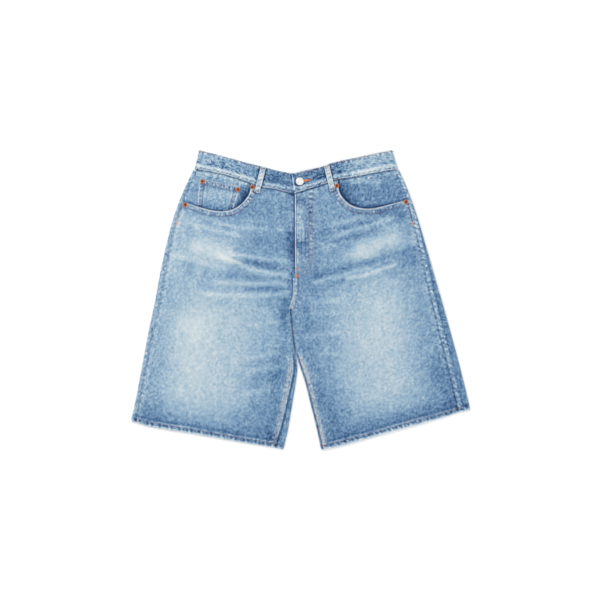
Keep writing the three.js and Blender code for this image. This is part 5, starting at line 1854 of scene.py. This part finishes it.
def ramped(tree, shader, share, stops):
    """The shader's colour by a share, from one place and colour of a ramp to the other."""
    ramp = node(tree, "ShaderNodeValToRGB", {0: share})
    for element, (place, colour) in zip(ramp.color_ramp.elements, stops):
        element.position = place
        element.color = colour
    tree.links.new(ramp.outputs[0], shader.inputs["Base Color"])


def srgb(colour):
    """Display colour, 0 to 1, to linear."""
    c = np.array(colour[:3], dtype=float)
    return tuple(np.where(c <= 0.04045, c / 12.92, ((c + 0.055) / 1.055) ** 2.4)) + (1.0,)


@once
def denim_material(name, colours, speckle, shift):
    soft = {"Specular IOR Level": 0.2, "Sheen Weight": 0.15, "Sheen Roughness": 0.5}
    material, tree, shader = new_material(name, soft)
    group = node(tree, "ShaderNodeGroup", node_tree=denim_group())
    for label in ("Ink", *TONE_STOPS):
        shifted = [min(1.0, channel * (1 + shift)) for channel in getattr(colours, label.lower())]
        group.inputs[label].default_value = srgb(shifted)
    group.inputs["Speckle"].default_value = speckle
    tree.links.new(group.outputs["Color"], shader.inputs["Base Color"])
    tree.links.new(group.outputs["Roughness"], shader.inputs["Roughness"])
    bumped(tree, shader, group.outputs["Height"], 0.55, 0.0004)
    return material


@once
def thread_material(name, colour):
    """Twisted cotton: fine slanted lines, uneven fading."""
    material, tree, shader = new_material(name, {"Roughness": 0.75})
    place = node(tree, "ShaderNodeTexCoord").outputs["Object"]
    fade = node(tree, "ShaderNodeTexNoise", {"Vector": place, "Scale": 90.0}).outputs["Fac"]
    twist = node(tree, "ShaderNodeTexWave", {"Vector": place, "Scale": 1100.0}, wave_type="BANDS",
                 bands_direction="DIAGONAL").outputs["Fac"]
    base = np.array(srgb(colour)[:3])
    faded = np.minimum(base * 1.3 + 0.05, 1)
    ramped(tree, shader, fade, ((0.3, (*(base * 0.7), 1)), (0.7, (*faded, 1))))
    bumped(tree, shader, twist, 0.5, 0.0002)
    return material


@once
def metal_material(name, colour, dull, roughness):
    """Worn plated metal: patches of dullness and fine scratches."""
    material, tree, shader = new_material(name, {"Metallic": 0.75})
    place = node(tree, "ShaderNodeTexCoord").outputs["Object"]
    patchy = {"Vector": place, "Scale": 600.0, "Detail": 5.0}
    patches = node(tree, "ShaderNodeTexNoise", patchy).outputs["Fac"]
    scratch = node(tree, "ShaderNodeTexNoise", {"Vector": place, "Scale": 2500.0}).outputs["Fac"]
    ramped(tree, shader, patches, ((0.35, srgb(dull)), (0.62, srgb(colour))))
    ends = {"Value": patches, "To Min": roughness + 0.15, "To Max": roughness - 0.08}
    rough = node(tree, "ShaderNodeMapRange", ends)
    tree.links.new(rough.outputs[0], shader.inputs["Roughness"])
    bumped(tree, shader, scratch, 0.25, 0.0001)
    return material


# Properties, operators and panel.

class ClothSizes(bpy.types.PropertyGroup):
    grid_step: bpy.props.FloatProperty(
        name="Front grid", description="Spacing of the front panels' points, in millimetres", default=2.5)
    back_step: bpy.props.FloatProperty(
        name="Back grid", description="Spacing of the back panels' points, in millimetres", default=4.5)
    fine_step: bpy.props.FloatProperty(
        name="Edge grid", description="Spacing beside seams and turned edges, in millimetres", default=1.3)
    stitch_long: bpy.props.FloatProperty(
        name="Stitch", description="Length of a stitch, in metres", default=0.0026, unit="LENGTH")
    thread_thick: bpy.props.FloatProperty(
        name="Thread", description="Radius of the sewing thread, in metres", default=0.00062, unit="LENGTH")


def colour_property(name, description, default):
    return bpy.props.FloatVectorProperty(
        name=name, description=description, default=default, subtype="COLOR_GAMMA", size=3, min=0, max=1)


class ClothColours(bpy.types.PropertyGroup):
    # The darkest colour: dark indigo, and painted shade in the seams and under raised edges.
    ink: colour_property("Ink", "Shade in the seams", (0.1, 0.17, 0.31))
    deep: colour_property("Deep blue", "Unfaded denim in the hollows", (0.235, 0.38, 0.55))
    blue: colour_property("Mid blue", "Denim between the fades", (0.45, 0.59, 0.71))
    washed: colour_property("Washed blue", "Edges of the fades", (0.635, 0.72, 0.768))
    bleached: colour_property("Bleached", "Middle of the fades", (0.805, 0.828, 0.832))
    reverse: colour_property("Reverse", "Inner face of the cloth", (0.66, 0.71, 0.74))
    rust: colour_property("Rust thread", "Outer rows of sewing", (0.5, 0.31, 0.22))
    cream: colour_property("Cream thread", "Rubbed rows of sewing", (0.88, 0.84, 0.78))
    orange: colour_property("Orange thread", "Bar tacks and buttonhole", (0.86, 0.5, 0.2))
    copper: colour_property("Copper", "Rivets", (0.84, 0.53, 0.33))
    silver: colour_property("Silver", "Button", (0.94, 0.94, 0.93))
    floor: colour_property("Floor", "Surface under the shorts", (0.985, 0.985, 0.985))


def settings():
    return bpy.context.scene.shorts_sizes, bpy.context.scene.shorts_colours


def cloth_materials():
    _, colours = settings()
    face = denim_material("washed_denim_face", colours, 1.0, 0.0)
    reverse = denim_material("washed_denim_reverse", colours, 0.6, 0.12)
    return [face, reverse]


class SHORTS_OT_front_panels(bpy.types.Operator):
    """Front panels, with the folded fly on the left one"""
    bl_idname = "shorts.front_panels"
    bl_label = "Front panels"

    def execute(self, context):
        sizes, _ = settings()
        for side in SIGN:
            piece = front_panel(side, sizes, cloth_materials())
            declare(piece, [f"front_panel_{side}"], (0.36, 0.59))
        return {"FINISHED"}


class SHORTS_OT_back_panels(bpy.types.Operator):
    """Back panels and yokes, with the edges that come round the folds"""
    bl_idname = "shorts.back_panels"
    bl_label = "Back panels and yokes"

    def execute(self, context):
        sizes, _ = settings()
        for side in SIGN:
            piece = back_panel(side, sizes, cloth_materials())
            declare(piece, [f"back_panel_{side}"], (0.44, 0.58))
            piece = back_yoke(side, cloth_materials())
            declare(piece, [f"back_yoke_{side}"], (0.26, 0.13))
            piece = back_pocket(side, cloth_materials())
            declare(piece, [f"back_pocket_{side}"], (0.15, 0.14))
        return {"FINISHED"}


class SHORTS_OT_pockets(bpy.types.Operator):
    """Front pocket facings and the coin pocket"""
    bl_idname = "shorts.pockets"
    bl_label = "Front pockets"

    def execute(self, context):
        for side in SIGN:
            piece = pocket_facing(side, cloth_materials())
            declare(piece, [f"pocket_facing_{side}"], (0.16, 0.1))
        piece = coin_pocket(cloth_materials())
        declare(piece, ["coin_pocket"], (0.092, 0.072))
        return {"FINISHED"}


class SHORTS_OT_waistband(bpy.types.Operator):
    """Waistband strip, its upper end over its lower end"""
    bl_idname = "shorts.waistband"
    bl_label = "Waistband"

    def execute(self, context):
        sizes, _ = settings()
        piece = waistband(sizes, cloth_materials())
        declare(piece, ["waistband"], (0.93, 0.046))
        return {"FINISHED"}


class SHORTS_OT_belt_loops(bpy.types.Operator):
    """Belt loops, two in front and three under the garment"""
    bl_idname = "shorts.belt_loops"
    bl_label = "Belt loops"

    def execute(self, context):
        for side in SIGN:
            loop = (*loop_line(side), FRONT_LOOP_WALL, False)
            piece = belt_loop(f"denim_loop_front_{side}", *loop, cloth_materials())
            declare(piece, [f"belt_loop_front_{side}"], (0.012, 0.058))
        for name, x in BACK_LOOPS.items():
            top = float(band_top_y(x)) - BACK_LOOP_INSET
            y = np.linspace(top, top - BACK_LOOP_LONG, BACK_LOOP_ROWS)
            line = np.stack([np.full_like(y, x), y], -1)
            loop = (line, np.zeros_like(y), PATCH_WALL, True)
            piece = belt_loop(f"denim_loop_{name}", *loop, cloth_materials())
            declare(piece, [f"belt_loop_{name}"], (0.012, 0.053))
        return {"FINISHED"}


TACK_THIN = 0.8
UNDER_LONGER = 0.3


class SHORTS_OT_sewing(bpy.types.Operator):
    """Topstitching, bar tacks and the buttonhole"""
    bl_idname = "shorts.sewing"
    bl_label = "Sewing"

    def execute(self, context):
        sizes, colours = settings()
        long = sizes.stitch_long / MM
        thick = sizes.thread_thick / MM
        threads = {name: Thread(long, thick) for name in ("rust", "cream")}
        threads["orange"] = Thread(long, thick * TACK_THIN)
        threads["under"] = Thread(long + UNDER_LONGER, thick)
        sew_front(threads)
        sew_band(threads)
        sew_coin(threads)
        sew_loops(threads)
        sew_tacks(threads["orange"])
        buttonhole(threads["orange"])
        sew_under(threads["under"])
        dyes = {"rust": colours.rust, "cream": colours.cream, "orange": colours.orange, "under": colours.rust}
        for name, thread in threads.items():
            piece = thread.join(f"thread_{name}", thread_material(f"thread_{name}", dyes[name]))
            declare(piece, [])
        return {"FINISHED"}


class SHORTS_OT_metal(bpy.types.Operator):
    """Rivets and the shank button"""
    bl_idname = "shorts.metal"
    bl_label = "Rivets and button"

    def execute(self, context):
        _, colours = settings()
        copper = metal_material("aged_copper", colours.copper, (0.6, 0.32, 0.2), 0.4)
        centre = metal_material("aged_copper_centre", (0.42, 0.2, 0.13), (0.24, 0.11, 0.08), 0.55)
        silver = metal_material("worn_silver", colours.silver, (0.8, 0.8, 0.79), 0.36)
        for name, (x, y) in RIVETS.items():
            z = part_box(f"rivet_{name}")[0][2] / MM
            piece = turned(f"copper_rivet_{name}", RIVET_PROFILE, RIVET_SEGMENTS, [(x, y, z)],
                           [copper, centre], RIVET_DARK)
            declare(piece, [f"rivet_{name}"])
        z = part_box("button")[0][2] / MM
        piece = turned("silver_button", BUTTON_PROFILE, BUTTON_SEGMENTS, [(*BUTTON_XY, z)], [silver])
        declare(piece, ["button"])
        return {"FINISHED"}


# The stage, in metres: the photo is 600 pixels of 2.1 mm wide. Lights: place, size, power, colour.
FLOOR_HALF = 4.0
LENS = 85
SENSOR = 36
VIEW_WIDE = 600 * 2.1 * MM
FACE_HIGH = 0.008
LIGHTS = (
    ("key_light", (-1.5, 1.4, 2.4), 1.6, 46, (1.0, 0.99, 0.97)),
    ("fill_light", (1.8, -0.9, 2.4), 2.6, 22, (0.97, 0.99, 1.0)),
)
SKY_POWER = 0.75


class SHORTS_OT_stage(bpy.types.Operator):
    """Pale floor, soft lights and the camera straight above"""
    bl_idname = "shorts.stage"
    bl_label = "Stage"

    def execute(self, context):
        _, colours = settings()
        scene = context.scene
        mesh = bpy.data.meshes.new("floor")
        corners = [(FLOOR_HALF * x, FLOOR_HALF * y, 0) for x, y in ((-1, -1), (1, -1), (1, 1), (-1, 1))]
        mesh.from_pydata(corners, [], [(0, 1, 2, 3)])
        floor = link("floor", mesh)
        material, _, _ = new_material("pale_floor", {"Base Color": srgb(colours.floor), "Roughness": 0.9})
        mesh.materials.append(material)
        camera_data = bpy.data.cameras.new("camera")
        camera_data.lens = LENS
        camera_data.sensor_width = SENSOR
        camera = bpy.data.objects.new("camera", camera_data)
        scene.collection.objects.link(camera)
        camera.location = (-OUTLINE_MIDDLE[0] * MM, 0.0, FACE_HIGH + VIEW_WIDE * LENS / SENSOR)
        scene.camera = camera
        for name, place, size, power, colour in LIGHTS:
            data = bpy.data.lights.new(name, "AREA")
            data.size = size
            data.energy = power
            data.color = colour
            light = bpy.data.objects.new(name, data)
            light.location = place
            aim = -np.array(place)
            aim /= np.linalg.norm(aim)
            pitch = np.arccos(-aim[2])
            turn = np.arctan2(aim[0], -aim[1])
            light.rotation_euler = (pitch, 0, turn + np.pi)
            scene.collection.objects.link(light)
        world = bpy.data.worlds.new("studio")
        world.use_nodes = True
        background = world.node_tree.nodes["Background"]
        background.inputs[0].default_value = (1, 1, 1, 1)
        background.inputs[1].default_value = SKY_POWER
        scene.world = world
        scene.view_settings.view_transform = "Standard"
        return {"FINISHED"}


class SHORTS_PT_panel(bpy.types.Panel):
    """Buttons for each group of pieces"""
    bl_label = "Laid denim shorts"
    bl_idname = "SHORTS_PT_panel"
    bl_space_type = "VIEW_3D"
    bl_region_type = "UI"
    bl_category = "Shorts"

    def draw(self, context):
        for group in (context.scene.shorts_sizes, context.scene.shorts_colours):
            for key in group.__annotations__:
                self.layout.prop(group, key)
        for operator in OPERATORS:
            self.layout.operator(operator.bl_idname)


OPERATORS = (
    SHORTS_OT_stage, SHORTS_OT_back_panels, SHORTS_OT_front_panels, SHORTS_OT_pockets, SHORTS_OT_waistband,
    SHORTS_OT_belt_loops, SHORTS_OT_sewing, SHORTS_OT_metal,
)


def register():
    for made in (ClothSizes, ClothColours, *OPERATORS, SHORTS_PT_panel):
        bpy.utils.register_class(made)
    bpy.types.Scene.shorts_sizes = bpy.props.PointerProperty(type=ClothSizes)
    bpy.types.Scene.shorts_colours = bpy.props.PointerProperty(type=ClothColours)


def unregister():
    del bpy.types.Scene.shorts_sizes
    del bpy.types.Scene.shorts_colours
    for made in reversed((ClothSizes, ClothColours, *OPERATORS, SHORTS_PT_panel)):
        bpy.utils.unregister_class(made)


def main():
    register()
    for operator in OPERATORS:
        group, name = operator.bl_idname.split(".")
        getattr(getattr(bpy.ops, group), name)()


if __name__ == "__main__":
    main()
